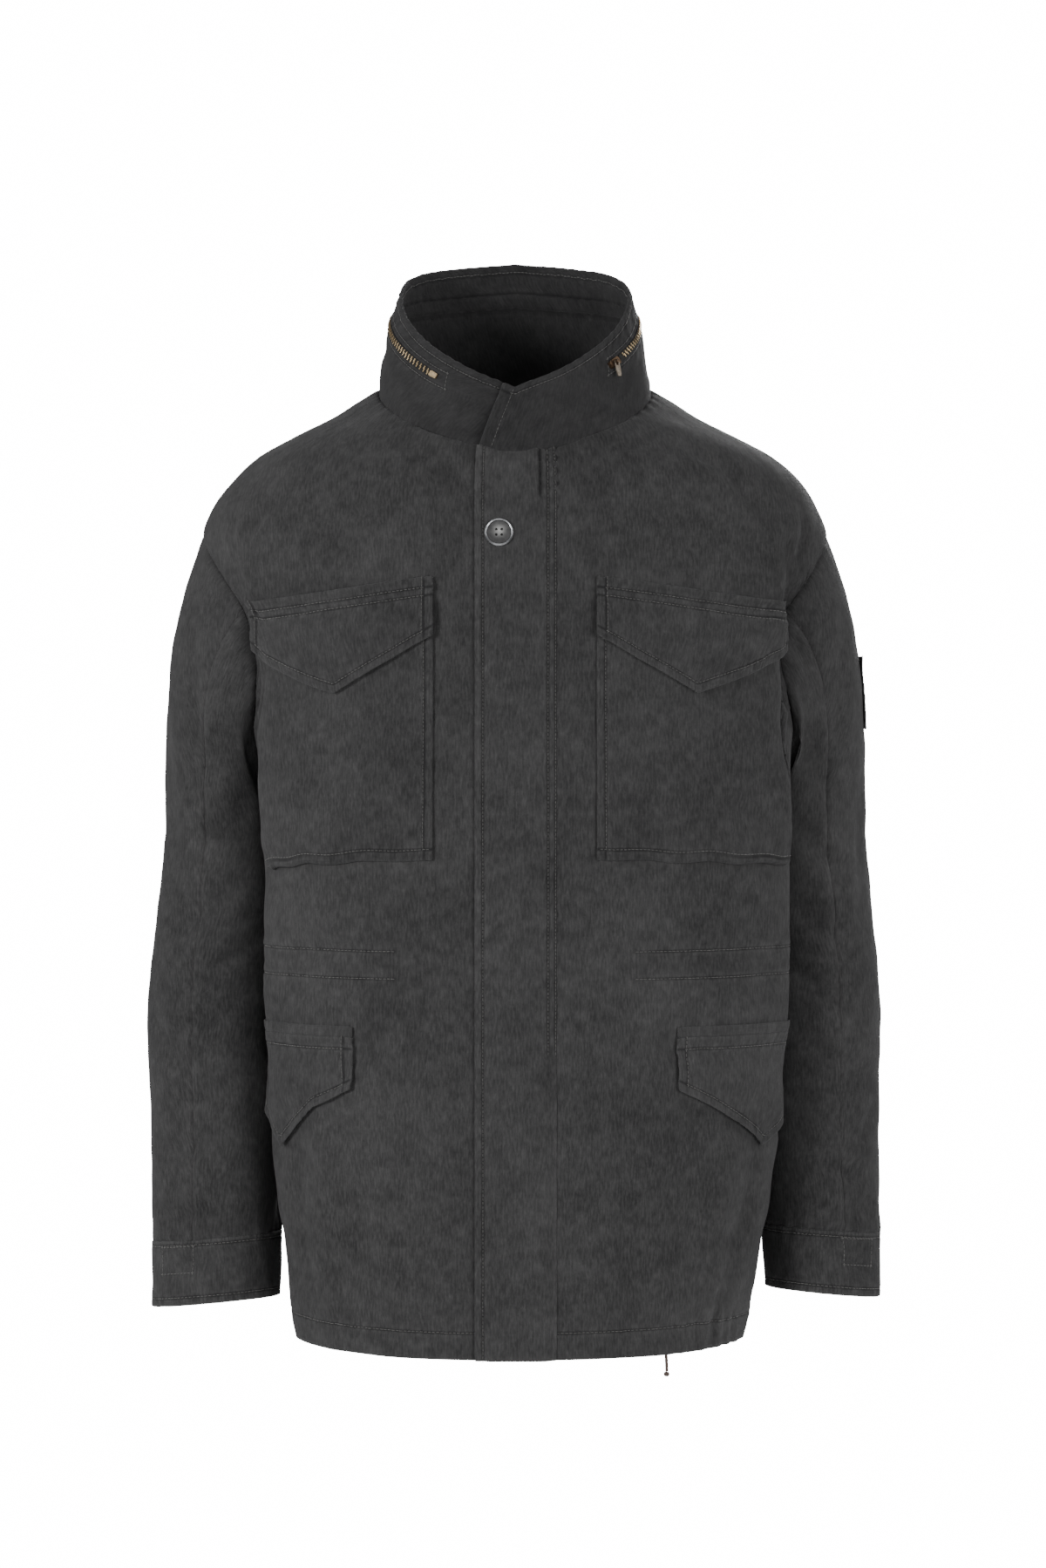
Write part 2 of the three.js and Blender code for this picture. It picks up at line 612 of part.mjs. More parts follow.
function makeZipChain() {
  const grid = collarGrid().slice(zipChain.low, zipChain.high + 1)
    .map((row) => row.slice(zipChain.from, zipChain.to + 1));
  for (const row of grid) {
    for (const spot of row) spot.p.addScaledVector(spot.n, seamGap + zipChain.thick);
  }
  addMesh("collar_zip", wallGeometry(grid, zipChain.thick), brass);
}

// A group on the collar's outside: X level, Y up the cloth, Z outwards. lean turns Y to the zip's run.
function collarPlace(column) {
  const share = mix(collarRows[zipChain.low], collarRows[zipChain.high], 0.5);
  const step = 0.25;
  const p = collarPoint(column, share);
  const run = collarPoint(column + step, share).sub(collarPoint(column - step, share));
  const up = collarPoint(column, share + 0.04).sub(collarPoint(column, share - 0.04));
  const out = run.clone().cross(up).normalize();
  const level = new THREE.Vector3(0, 0, 1).cross(out).normalize();
  const seat = new THREE.Group();
  const rise = out.clone().cross(level);
  seat.quaternion.setFromRotationMatrix(new THREE.Matrix4().makeBasis(level, rise, out));
  seat.position.copy(p);
  group.add(seat);
  const lean = -Math.atan2(run.dot(level), run.dot(rise));
  return { seat, lean };
}

function roundedBar(across, length, thick, corner) {
  const shape = new THREE.Shape();
  const x = across / 2 - corner;
  const y = length / 2 - corner;
  shape.absarc(x, y, corner, 0, Math.PI / 2);
  shape.absarc(-x, y, corner, Math.PI / 2, Math.PI);
  shape.absarc(-x, -y, corner, Math.PI, 1.5 * Math.PI);
  shape.absarc(x, -y, corner, 1.5 * Math.PI, 2 * Math.PI);
  return new THREE.ExtrudeGeometry(shape, { depth: thick, bevelEnabled: false, curveSegments: 4 });
}

function toManifold(geometry) {
  const bare = geometry.clone();
  bare.deleteAttribute("normal");
  bare.deleteAttribute("uv");
  const merged = mergeVertices(bare, 1e-4);
  return new wasm.Manifold(new wasm.Mesh({
    numProp: 3,
    vertProperties: new Float32Array(merged.attributes.position.array),
    triVerts: new Uint32Array(merged.index.array),
  }));
}

function fromManifold(solid) {
  const mesh = solid.getMesh();
  const geometry = new THREE.BufferGeometry();
  geometry.setAttribute("position", new THREE.BufferAttribute(mesh.vertProperties, 3));
  geometry.setIndex(new THREE.BufferAttribute(mesh.triVerts, 1));
  return geometry;
}

// The bridge is an arch over the pull's bar. Its axis is the seat's X.
function bridgeGeometry() {
  const shape = new THREE.Shape();
  shape.absarc(0, 0, bridge.outer, 0, Math.PI);
  shape.lineTo(-bridge.outer, -bridge.rise);
  shape.lineTo(-bridge.inner, -bridge.rise);
  shape.lineTo(-bridge.inner, 0);
  shape.absarc(0, 0, bridge.inner, Math.PI, 0, true);
  shape.lineTo(bridge.inner, -bridge.rise);
  shape.lineTo(bridge.outer, -bridge.rise);
  const geometry = new THREE.ExtrudeGeometry(shape, {
    depth: bridge.wide, bevelEnabled: false, curveSegments: 10,
  });
  return geometry.translate(0, 0, -bridge.wide / 2).rotateY(Math.PI / 2).rotateX(Math.PI / 2);
}

const pullAxis = slider.base + slider.thick + bridge.inner + 0.1;

function makeSlider() {
  const { seat, lean } = collarPlace(slider.column);
  const body = roundedBar(slider.across, slider.length, slider.thick, 1.8)
    .rotateZ(lean).translate(0, 0, slider.base);
  const arch = bridgeGeometry().translate(0, 0, pullAxis);
  addMesh("zip_slider", fromManifold(toManifold(body).add(toManifold(arch))),
    { color: 0x4b3a2a, roughness: 0.45, metalness: 1 }, seat);
  makePull(seat);
}

// The pull is a flat tab, with a window whose upper bar lies under the bridge.
function makePull(seat) {
  const bar = pull.thick / 2;
  const shape = new THREE.Shape();
  shape.moveTo(pull.wide / 2, bar);
  shape.lineTo(-pull.wide / 2, bar);
  shape.lineTo(-pull.wide / 2, -pull.length * 0.55);
  shape.lineTo(-pull.wide * 0.36, -pull.length);
  shape.lineTo(pull.wide * 0.36, -pull.length);
  shape.lineTo(pull.wide / 2, -pull.length * 0.55);
  const window = new THREE.Path();
  window.moveTo(pull.windowWide / 2, -bar);
  window.lineTo(pull.windowWide / 2, -bar - pull.window);
  window.lineTo(-pull.windowWide / 2, -bar - pull.window);
  window.lineTo(-pull.windowWide / 2, -bar);
  shape.holes.push(window);
  const geometry = new THREE.ExtrudeGeometry(shape, { depth: pull.thick, bevelEnabled: false });
  const tab = addMesh("zip_pull", geometry.translate(0, 0, -pull.thick / 2),
    { color: 0x8d8172, roughness: 0.35, metalness: 1 }, seat);
  tab.position.set(0, 0, pullAxis);
}

function makeZipStop() {
  const { seat, lean } = collarPlace(zipStop.column);
  const bar = roundedBar(zipStop.across, zipStop.length, zipStop.thick, 1);
  addMesh("zip_stop", bar.rotateZ(lean).translate(0, 0, seamGap), brass, seat);
}

// Fly, a strip over both fronts
function makeFly() {
  const grid = rows.map((_, row) => fly.edges.map((x) => {
    const at = Math.min(row, fly.top);
    const hand = x < 0 ? -1 : 1;
    const turn = turnAtReach(Math.abs(x), rowValue("front", at), hand);
    const spot = bodySpot(hand * turn, frontHeight(turn, at));
    spot.p.addScaledVector(spot.n, fly.gap + fly.thick);
    return spot;
  }));
  addMesh("fly", wallGeometry(grid, fly.thick));
}

// How far a chest pocket's face stands out beyond a flat one.
function pocketRise(column, at) {
  const first = pocket.columns[0];
  const outwards = clamp01((column - first) / (pocket.columns.at(-1) - first));
  const down = clamp01((pocket.rows.at(-1) - at) / (pocket.rows.at(-1) - pocket.rows[0]));
  return outwards ** 1.2 * mix(pocket.upper, pocket.lower, down) + 0.8 * down ** 2;
}

function handed(hand, grid) {
  return hand < 0 ? grid.map((row) => row.reverse()) : grid;
}

function makeChestPocket(hand, mark) {
  const outer = pocket.columns.at(-1);
  const points = pocket.rows.map((at) => pocket.columns.map((column) => {
    const base = column === outer || at === pocket.rows[0];
    const lift = base ? pocket.base : layGap + pocket.thick + pocketRise(column, at);
    return frontSpot(hand, column, at, lift).p;
  }));
  addMesh(`chest_pocket_${mark}`, wallGeometry(gridNormals(handed(hand, points)), pocket.thick));
}

// The row at which a front column reaches a height.
function rowAtHeight(hand, column, z) {
  let low = 0;
  let high = neckRow;
  for (let i = 0; i < 30; i++) {
    const middle = (low + high) / 2;
    if (frontHeight(columnTurn(column, middle, hand), middle) < z) low = middle;
    else high = middle;
  }
  return low;
}

function straight(table, column) {
  const i = column < table[1].at ? 0 : 1;
  return mix(table[i].drop, table[i + 1].drop, (column - table[i].at) / (table[i + 1].at - table[i].at));
}

// A flap that hangs from a top height to a pointed lower edge. lift gives its outer face.
function flapGrid(hand, flap, topOf, lift) {
  const grid = [];
  for (let level = 0; level <= flapLevels; level++) {
    const down = 1 - level / flapLevels;
    grid.push(flap.columns.map((column) => {
      const z = topOf(column) - straight(flap.drops, column) * down;
      const at = rowAtHeight(hand, column, z);
      return frontSpot(hand, column, at, lift(column, at, down));
    }));
  }
  return handed(hand, grid);
}

function makeChestFlap(hand, mark) {
  const topOf = (column) => frontHeight(columnTurn(column, chestFlap.top, hand), chestFlap.top);
  const seated = layGap + chestFlap.thick;
  const lift = (column, at, down) => {
    const over = layGap + pocket.thick + pocketRise(column, at) + chestFlap.gap + chestFlap.thick;
    const onPocket = smooth((chestFlap.top - at) / (chestFlap.top - pocket.rows.at(-1) - 0.15));
    return mix(seated, over + chestFlap.flare * down, onPocket);
  };
  addMesh(`chest_flap_${mark}`, wallGeometry(flapGrid(hand, chestFlap, topOf, lift), chestFlap.thick));
}

function makeHipFlap(hand, mark) {
  const lift = (column, at, down) => layGap + hipFlap.thick + hipFlap.flare * down;
  const grid = flapGrid(hand, hipFlap, () => hipFlap.top, lift);
  addMesh(`hip_flap_${mark}`, wallGeometry(grid, hipFlap.thick));
  const welt = [hipWelt.bottom, hipWelt.top].map((z) => hipWelt.columns.map((column) =>
    frontSpot(hand, column, rowAtHeight(hand, column, z), layGap + hipWelt.thick)));
  addMesh(`hip_welt_${mark}`, wallGeometry(handed(hand, welt), hipWelt.thick));
}

// A group whose Z axis is the body's normal at a distance from the centre front and a height.
function bodySeat(x, z) {
  const hand = x < 0 ? -1 : 1;
  const spot = bodySpot(hand * turnAtReach(Math.abs(x), z, hand), z);
  const level = new THREE.Vector3(0, 0, 1).cross(spot.n).normalize();
  const seat = new THREE.Group();
  const rise = spot.n.clone().cross(level);
  seat.quaternion.setFromRotationMatrix(new THREE.Matrix4().makeBasis(level, rise, spot.n));
  seat.position.copy(spot.p);
  group.add(seat);
  return seat;
}

function lathe(profile, segments) {
  const points = profile.map(([r, y]) => new THREE.Vector2(r, y));
  return new THREE.LatheGeometry([...points, points[0]], segments).rotateX(Math.PI / 2);
}

function makeButton() {
  const seat = bodySeat(button.x, button.z);
  const base = fly.gap + fly.thick + seamGap;
  const inner = button.radius - button.rim;
  const rim = lathe([[inner, 0], [button.radius - 0.6, 0], [button.radius, 0.8],
    [button.radius, button.high - 1], [button.radius - 0.7, button.high], [inner, button.high - 0.6]], 32);
  addMesh("button_rim", rim, { color: 0xb9bcc0, roughness: 0.25, metalness: 1 }, seat)
    .position.set(0, 0, base);
  const disc = new THREE.Shape().absarc(0, 0, inner - seamGap, 0, 2 * Math.PI);
  for (const [x, y] of [[1, 1], [-1, 1], [-1, -1], [1, -1]]) {
    disc.holes.push(new THREE.Path().absarc(x * button.holeAt, y * button.holeAt, button.hole, 0, 2 * Math.PI));
  }
  const face = new THREE.ExtrudeGeometry(disc, {
    depth: button.disc, bevelEnabled: false, curveSegments: 8,
  });
  addMesh("button", face, { color: 0x2b2c2e, roughness: 0.35, metalness: 0 }, seat)
    .position.set(0, 0, base + 0.1);
}

// Drawcord
function makeDrawcord() {
  const seat = bodySeat(eyelet.x, eyelet.z);
  const inside = -clothThick - eyelet.behind;
  const ring = lathe([[eyelet.hole, -eyelet.thick], [eyelet.radius, -eyelet.thick], [eyelet.radius, 0],
    [eyelet.hole, 0]], 20);
  addMesh("hem_eyelet", ring, { color: 0x4a3c2c, roughness: 0.4, metalness: 1 }, seat)
    .position.set(0, 0, inside);
  const brown = { color: 0x3b2a20, roughness: 0.75, metalness: 0 };
  const route = cordRoute.map(([across, inwards, up]) => new THREE.Vector3(across, up, inside - inwards));
  const section = new THREE.Shape().absarc(0, 0, cordWidth / 2, 0, 2 * Math.PI);
  addMesh("hem_cord", new THREE.ExtrudeGeometry(section, {
    extrudePath: new THREE.CatmullRomCurve3(route), steps: cordSteps, bevelEnabled: false, curveSegments: 4,
  }), brown, seat);
  const end = route.at(-1);
  const { radius, half } = knot;
  const ball = lathe([[0, -half], [radius * 0.7, -half * 0.7], [radius, 0], [radius * 0.7, half * 0.7],
    [0, half]], 12).rotateX(Math.PI / 2);
  addMesh("cord_knot", ball, brown, seat)
    .position.set(end.x, end.y - half - seamGap - 0.1, end.z);
}

for (const [hand, mark] of [[-1, "R"], [1, "L"]]) {
  makeFront(hand, mark);
  makeSleeve(hand, mark);
  makeCuff(hand, mark);
  makeChestPocket(hand, mark);
  makeChestFlap(hand, mark);
  makeHipFlap(hand, mark);
}
makeBack();
makeCollar();
makeFly();
makeSleevePocket();
makeZipChain();
makeSlider();
makeZipStop();
makeButton();
makeDrawcord();

export default group;
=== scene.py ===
import math

import bpy
import numpy as np
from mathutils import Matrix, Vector


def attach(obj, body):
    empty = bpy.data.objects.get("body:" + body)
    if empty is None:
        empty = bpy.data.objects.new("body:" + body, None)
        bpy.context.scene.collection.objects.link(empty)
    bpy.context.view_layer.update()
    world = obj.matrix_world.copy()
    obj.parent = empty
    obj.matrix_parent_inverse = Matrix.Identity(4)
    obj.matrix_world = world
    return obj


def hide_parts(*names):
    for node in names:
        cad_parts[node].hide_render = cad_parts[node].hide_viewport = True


metres = 0.001
hands = ((-1, "R"), (1, "L"))
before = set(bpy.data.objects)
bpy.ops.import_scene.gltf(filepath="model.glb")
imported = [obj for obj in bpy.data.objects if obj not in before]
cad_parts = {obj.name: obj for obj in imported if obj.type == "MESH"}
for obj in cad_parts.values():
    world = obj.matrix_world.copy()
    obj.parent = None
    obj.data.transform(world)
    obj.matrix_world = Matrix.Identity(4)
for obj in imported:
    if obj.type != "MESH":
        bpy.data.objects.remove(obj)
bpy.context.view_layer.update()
print("jacket: frame loaded")

# Camera
cameraValues = {
    "place": (0, -3.2, -0.243), "aim": (0.0069, 0, -0.3302), "lens": 87.7, "sensor": 36, "far": 50,
}


def linkPiece(name, data):
    piece = bpy.data.objects.new(name, data)
    bpy.context.collection.objects.link(piece)
    return piece


def aimAt(piece, place, aim):
    piece.location = place
    piece.rotation_mode = "QUATERNION"
    piece.rotation_quaternion = (Vector(aim) - piece.location).to_track_quat("-Z", "Y")


def makeCamera():
    data = bpy.data.cameras.new("viewCamera")
    data.lens = cameraValues["lens"]
    data.sensor_width = cameraValues["sensor"]
    data.clip_end = cameraValues["far"]
    camera = linkPiece("viewCamera", data)
    aimAt(camera, cameraValues["place"], cameraValues["aim"])
    bpy.context.scene.camera = camera


makeCamera()

# The body's form: half widths and depths of its sections by height
bodySections = {
    "z": (12, 0, -12, -26, -42, -57, -77, -100, -122, -160, -200, -260, -335, -400, -480, -560,
          -640, -710, -760, -790),
    "left": (95, 113, 133, 155, 187, 215, 236, 252, 260, 256, 244, 229, 222, 218, 217, 215, 209,
             200, 193, 187),
    "right": (95, 113, 134, 157, 188, 215, 238, 252, 260, 259, 251, 243, 240, 240, 239, 235, 226,
              214, 203, 196),
    "front": (8, 26, 58, 79, 92, 103, 113, 121, 127, 135, 141, 145, 147, 148, 148, 149, 150, 151,
              151, 148),
    "back": (86, 100, 107, 113, 119, 124, 129, 133, 137, 141, 143, 144, 143, 141, 139, 141, 145,
             149, 151, 150),
    "round": (1, 1, 1, 1, 0.98, 0.96, 0.92, 0.88, 0.85, 0.82, 0.8, 0.79, 0.78, 0.78, 0.78, 0.78,
              0.78, 0.79, 0.8, 0.8),
    "tuckLeft": (0,) * 9 + (0.03, 0.09, 0.16, 0.21, 0.21, 0.2, 0.18, 0.14, 0.09, 0.06, 0.05),
    "tuckRight": (0,) * 9 + (0.03, 0.1, 0.2, 0.27, 0.28, 0.27, 0.24, 0.18, 0.11, 0.07, 0.05),
}
tuckFrom, tuckTo = -75, 15

# Rows of the panels from hem to neck
panelRows = {
    "at": tuple(range(28)),
    "front": (-789, -767, -730, -680, -625, -575, -525, -483, -461, -424, -386, -350, -316, -290,
              -262, -236, -210, -186, -163, -143, -125, -109, -96, -84, -74, -66, -60, -57),
    "side": (-786, -764, -728, -678, -625, -575, -525, -483, -461, -428, -394, -364, -335, -318,
             -296, -270, -242, -214, -188, -166, -147, -132, -122, -94, -66, -40, -16, 0),
    "back": (-789, -767, -730, -680, -625, -575, -525, -480, -455, -418, -380, -345, -312, -285,
             -258, -232, -206, -180, -155, -132, -110, -90, -72, -52, -33, -16, -2, 10),
    "fore": (93,) * 13 + (84, 75, 67, 62, 60, 61, 66, 73, 81) + (90,) * 6,
    "aft": (93,) * 13 + (101, 109, 115, 118, 118, 116, 112, 106, 99) + (90,) * 6,
}
underarmRow, tipRow, neckRow, rowBend = 12, 22, 27, 1.25
frontReach = (0, 17, 33, 66, 98, 131, 160)
pocketReach = (0.35, 0.7, 1)
sideReach = (0.33, 0.67, 1)
pocketTurn, armholeMargin, flatShare, highRows = 64, 3, 0.62, 9
reachLimit, neckFade = 0.93, 22
foldArm, fineDeep = 150, 2.2
roughness = {"broad": (0.95, 90), "fine": (0.42, 38)}

# Folds of the body: turn and height at both ends, depth and width. A depth below 0 is a ridge.
bodyFolds = (
    (66, -112, 55, -250, 5, 11), (-60, -90, -56, -185, -2.5, 9), (-66, -130, -50, -215, 4, 12),
    (-30, -34, -9, -66, 4, 9), (27, -36, 11, -62, 3, 9), (-40, -440, -62, -530, 3, 16),
    (46, -430, 60, -515, 3.5, 16), (-35, -560, -30, -760, 4, 22), (30, -600, 38, -770, 4, 20),
    (118, -190, 138, -330, 8, 18), (-117, -200, -141, -350, 8, 19), (112, -330, 150, -420, 5, 20),
    (-110, -345, -148, -440, 5, 18), (165, -300, 172, -640, 5, 26), (-158, -420, -165, -770, 6, 24),
    (140, -520, 134, -780, 6, 24),
)
# Finer creases that the solids leave out
bodyCreases = (
    (-13, -62, -7, -92, 1.6, 4), (-20, -52, -12, -84, 1.4, 4), (-26, -46, -15, -60, -1.2, 4),
    (17, -52, 10, -80, 1.2, 4), (34, -44, 14, -58, 1.4, 5), (-44, -48, -30, -62, 1.2, 6),
    (40, -52, 52, -84, 1.4, 7), (-62, -92, -57, -170, 1.5, 4), (68, -96, 61, -150, 1.8, 5),
    (56, -112, 62, -240, 2.6, 6), (58, -215, 65, -372, 3, 6), (51, -120, 55, -300, -1.2, 7),
    (-28, -640, -23, -775, -1.4, 9), (-36, -600, -33, -720, 1.3, 8), (24, -300, 21, -420, 1.0, 9),
    (-52, -214, -66, -300, 1.6, 6), (64, -280, 58, -390, -1.4, 7),
    (-48, -84, -58, -150, 1.6, 7), (-38, -66, -47, -120, -1.0, 8), (44, -70, 54, -130, 1.5, 7),
    (36, -62, 45, -104, -1.0, 8), (-30, -96, -24, -190, 0.9, 10), (28, -90, 22, -170, 0.9, 10),
    (-21, -330, -19, -455, 1.0, 9), (-13, -470, -17, -640, 0.9, 8), (-42, -560, -46, -690, -1.2, 9),
    (15, -500, 17, -640, 1.0, 9), (46, -600, 42, -740, -1.2, 9), (30, -480, 36, -560, 1.2, 8),
    (-70, -340, -60, -430, 2, 8), (-24, -455, -56, -470, 1.2, 6), (50, -468, 26, -474, 1.2, 6),
    (-18, -500, -40, -590, 1.4, 9), (20, -520, 36, -566, 1.2, 8), (-16, -600, -22, -720, 1.6, 10),
    (18, -650, 24, -776, 1.6, 10), (-52, -600, -58, -740, 1.8, 11), (58, -590, 52, -750, 2, 11),
    (-74, -520, -66, -640, 2.2, 12), (76, -500, 70, -620, 2.2, 12), (-82, -640, -84, -770, 2, 12),
    (84, -660, 82, -780, 2, 12), (-44, -770, -38, -700, 1.4, 7), (44, -784, 40, -716, 1.6, 6),
    (51, -786, 49, -735, 1.4, 5), (128, -130, 160, -118, 1.8, 9), (-130, -136, -164, -120, 1.8, 9),
    (150, -60, 172, -150, 1.5, 10), (-148, -64, -170, -160, 1.5, 10), (126, -240, 150, -300, 2.4, 8),
    (-124, -250, -152, -306, 2.4, 8), (118, -420, 140, -500, 2.4, 10), (-118, -430, -142, -520, 2.4, 10),
    (175, -460, 150, -600, 2, 12), (-176, -500, -150, -640, 2, 12), (112, -560, 118, -770, 2.4, 14),
    (-112, -560, -116, -770, 2.4, 14), (158, -650, 160, -785, 2.2, 10), (-136, -700, -134, -786, 2, 10),
)


def column(table, key):
    return np.asarray(table[key], float)


def mix(a, b, t):
    return a + (b - a) * t


def smooth(t):
    t = np.clip(t, 0, 1)
    return t * t * (3 - 2 * t)


def bell(distance, width):
    return np.exp(-(distance / width) ** 2)


def asGrids(*values):
    return np.broadcast_arrays(*(np.asarray(value, float) for value in values))


def halve(isBelow, low, high, steps):  # where isBelow turns false, found by halving
    for _ in range(steps):
        middle = (low + high) / 2
        below = isBelow(middle)
        low, high = np.where(below, middle, low), np.where(below, high, middle)
    return low


def sideName(hand):
    return "right" if hand < 0 else "left"


def curve(table, at, key, value):  # a smooth curve through one column, read at values of another
    xs, ys = column(table, at), column(table, key)
    if xs[1] < xs[0]:
        xs, ys = xs[::-1], ys[::-1]
    value = np.asarray(value, float)
    slope = np.empty_like(ys)
    slope[1:-1] = (ys[2:] - ys[:-2]) / (xs[2:] - xs[:-2])
    slope[0] = (ys[1] - ys[0]) / (xs[1] - xs[0])
    slope[-1] = (ys[-1] - ys[-2]) / (xs[-1] - xs[-2])
    i = np.clip(np.searchsorted(xs, value, side="right") - 1, 0, len(xs) - 2)
    span = xs[i + 1] - xs[i]
    t = np.clip((value - xs[i]) / span, 0, 1)
    t2, t3 = t * t, t * t * t
    inside = ((2 * t3 - 3 * t2 + 1) * ys[i] + (t3 - 2 * t2 + t) * slope[i] * span
              + (3 * t2 - 2 * t3) * ys[i + 1] + (t3 - t2) * slope[i + 1] * span)
    below, above = np.minimum(value - xs[0], 0), np.maximum(value - xs[-1], 0)
    return inside + slope[0] * below + slope[-1] * above


def rowValue(key, at):
    return curve(panelRows, "at", key, at)


def unit(v):
    return v / np.maximum(np.linalg.norm(v, axis=-1, keepdims=True), 1e-9)


def stack(x, y, z):
    return np.stack(np.broadcast_arrays(x, y, z), axis=-1).astype(float)


def plainPoint(turn, z):  # the body without folds
    a = np.radians(turn)
    s, c = np.abs(np.sin(a)), np.cos(a)
    rightSide = np.sin(a) < 0
    round_ = curve(bodySections, "z", "round", z)

    def sided(right, left):
        return np.where(rightSide, curve(bodySections, "z", right, z), curve(bodySections, "z", left, z))

    depth = np.where(c > 0, -curve(bodySections, "z", "front", z), curve(bodySections, "z", "back", z))
    y = depth * np.abs(c) ** round_
    pressed = 1 - sided("tuckLeft", "tuckRight") * smooth((y - tuckFrom) / (tuckTo - tuckFrom))
    x = np.where(rightSide, -1, 1) * sided("left", "right") * s ** round_ * pressed
    return stack(x, y, z)


def normalOf(form, turn, z):
    return unit(np.cross(form(turn + 0.6, z) - form(turn - 0.6, z), form(turn, z + 1) - form(turn, z - 1)))


def creaseDepth(across, up, creases):  # soft troughs along lines, from one end to the other
    depth = np.zeros(np.broadcast(across, up).shape)
    for acrossA, upA, acrossB, upB, deep, width in creases:
        runAcross, runUp = acrossB - acrossA, upB - upA
        t = ((across - acrossA) * runAcross + (up - upA) * runUp) / (runAcross ** 2 + runUp ** 2)
        away = np.hypot(across - acrossA - t * runAcross, up - upA - t * runUp) / width
        held = np.clip(t, 0, 1)
        depth += np.where((t >= 0) & (t <= 1), deep * np.exp(-away ** 2) * np.sin(np.pi * held) ** 0.8, 0)
    return depth


def wander(u, v, seed, size):  # soft uneven waves about one size, between -1 and 1
    rng = np.random.default_rng(seed)
    total = np.zeros(np.broadcast(u, v).shape)
    for _ in range(7):
        angle, phase = rng.uniform(0, 2 * math.pi, 2)
        wave = size * rng.uniform(0.6, 1.7)
        total += np.sin((u * math.cos(angle) + v * math.sin(angle)) * 2 * math.pi / wave + phase)
    return total / 3.7


def unevenness(turn, z):
    a = np.radians(turn)
    x, y = foldArm * np.sin(a), foldArm * np.cos(a)
    (broad, wide), (fine, narrow) = roughness["broad"], roughness["fine"]
    return (broad * (wander(x, z, 11, wide) + wander(y, z, 13, wide))
            + fine * (wander(x, z, 12, narrow) + wander(y, z, 14, narrow)))


def onBody(creases):  # those near the centre back count on both sides of it
    placed = []
    for a, za, b, zb, deep, width in creases:
        again = (0, 360) if min(a, b) < -100 else (0, -360) if max(a, b) > 100 else (0,)
        placed += [((a + whole) * onArm, za, (b + whole) * onArm, zb, deep, width) for whole in again]
    return placed


onArm = math.radians(1) * foldArm
coarseFolds = [(a * onArm, za, b * onArm, zb, deep, width) for a, za, b, zb, deep, width in bodyFolds]
allFolds = onBody(bodyFolds) + onBody([(*line[:4], line[4] * fineDeep, line[5]) for line in bodyCreases])


def neckHeight(turn):
    away = np.abs(np.sin(np.radians(turn))) ** rowBend
    front, side, back = (panelRows[key][neckRow] for key in ("front", "side", "back"))
    return np.where(np.abs(turn) <= 90, mix(front, side, away), mix(back, side, away))


def belowNeck(turn, z):  # 0 at the neck's edge and 1 below it
    return smooth((neckHeight(turn) - 1 - z) / neckFade)


def foldedIn(turn, z, depth):
    return plainPoint(turn, z) - normalOf(plainPoint, turn, z) * depth[..., None]


def coarseBody(turn, z):  # the body as the solids have it
    turn, z = asGrids(turn, z)
    return foldedIn(turn, z, creaseDepth(turn * onArm, z, coarseFolds))


def bodyPoint(turn, z):
    turn, z = asGrids(turn, z)
    turn = np.where(turn > 180, turn - 360, turn)
    depth = (creaseDepth(turn * onArm, z, allFolds) + unevenness(turn, z)) * belowNeck(turn, z)
    return foldedIn(turn, z, depth)


def bodySpot(turn, z):
    return bodyPoint(turn, z), normalOf(bodyPoint, turn, z)


def turnAtReach(reach, z, hand):
    half = curve(bodySections, "z", "left" if hand < 0 else "right", z)
    share = np.minimum(reachLimit, reach / half) ** (1 / curve(bodySections, "z", "round", z))
    return np.degrees(np.arcsin(share))


def columnTurn(place, at, hand):
    place, at = asGrids(place, at)
    z, fore = rowValue("front", at), rowValue("fore", at)
    edge = np.minimum(pocketTurn, fore - armholeMargin)
    high = smooth((at - neckRow + highRows) / highRows)
    flatEnd = frontReach[-1]
    lastFlat = mix(turnAtReach(flatEnd, z, hand), fore * flatShare, high)
    start = np.minimum(lastFlat, edge - 2)
    turns = [mix(turnAtReach(r, z, hand), lastFlat * r / flatEnd, high) for r in frontReach]
    turns += [mix(start, edge, s) for s in pocketReach]
    turns += [mix(edge, fore, s) for s in sideReach]
    turns = np.stack(turns, axis=-1)
    k = np.clip(np.floor(place).astype(int), 0, turns.shape[-1] - 2)
    low = np.take_along_axis(turns, k[..., None], -1)[..., 0]
    top = np.take_along_axis(turns, k[..., None] + 1, -1)[..., 0]
    return mix(low, top, place - k)


def frontHeight(turn, at):
    share = np.clip(turn / rowValue("fore", at), 0, 1)
    return mix(rowValue("front", at), rowValue("side", at), np.sin(share * math.pi / 2) ** rowBend)


def frontSpot(hand, place, at, lift=0.0):
    place, at = asGrids(place, at)
    turn = columnTurn(place, at, hand)
    p, n = bodySpot(hand * turn, frontHeight(turn, at))
    return p + n * np.broadcast_to(lift, place.shape)[..., None], n


def backSpot(share, at):
    share, at = asGrids(share, at)
    aft = rowValue("aft", at)
    turn = mix(aft, 360 - aft, share)
    away = np.clip(np.abs(turn - 180) / (180 - aft), 0, 1)
    return bodySpot(turn, mix(rowValue("back", at), rowValue("side", at),
                              np.sin(away * math.pi / 2) ** rowBend))


# Drawcord in the hem, with its eyelet inside the left front
cordValues = {
    "x": 127.4, "z": -773, "wall": 1.6, "behind": 1.3, "thick": 2.6, "sides": 10, "fine": 4,
    "route": ((0, 1.6, 0), (0, 3.7, -0.4), (0, 5.6, -1.6), (0, 6.8, -3.5), (0, 7.2, -5.6),
              (0.1, 7.1, -9), (0.2, 6.9, -13), (0.4, 6.6, -17), (0.7, 6.2, -21), (1.1, 5.9, -25),
              (1.5, 5.7, -29), (1.8, 5.6, -32)),
}


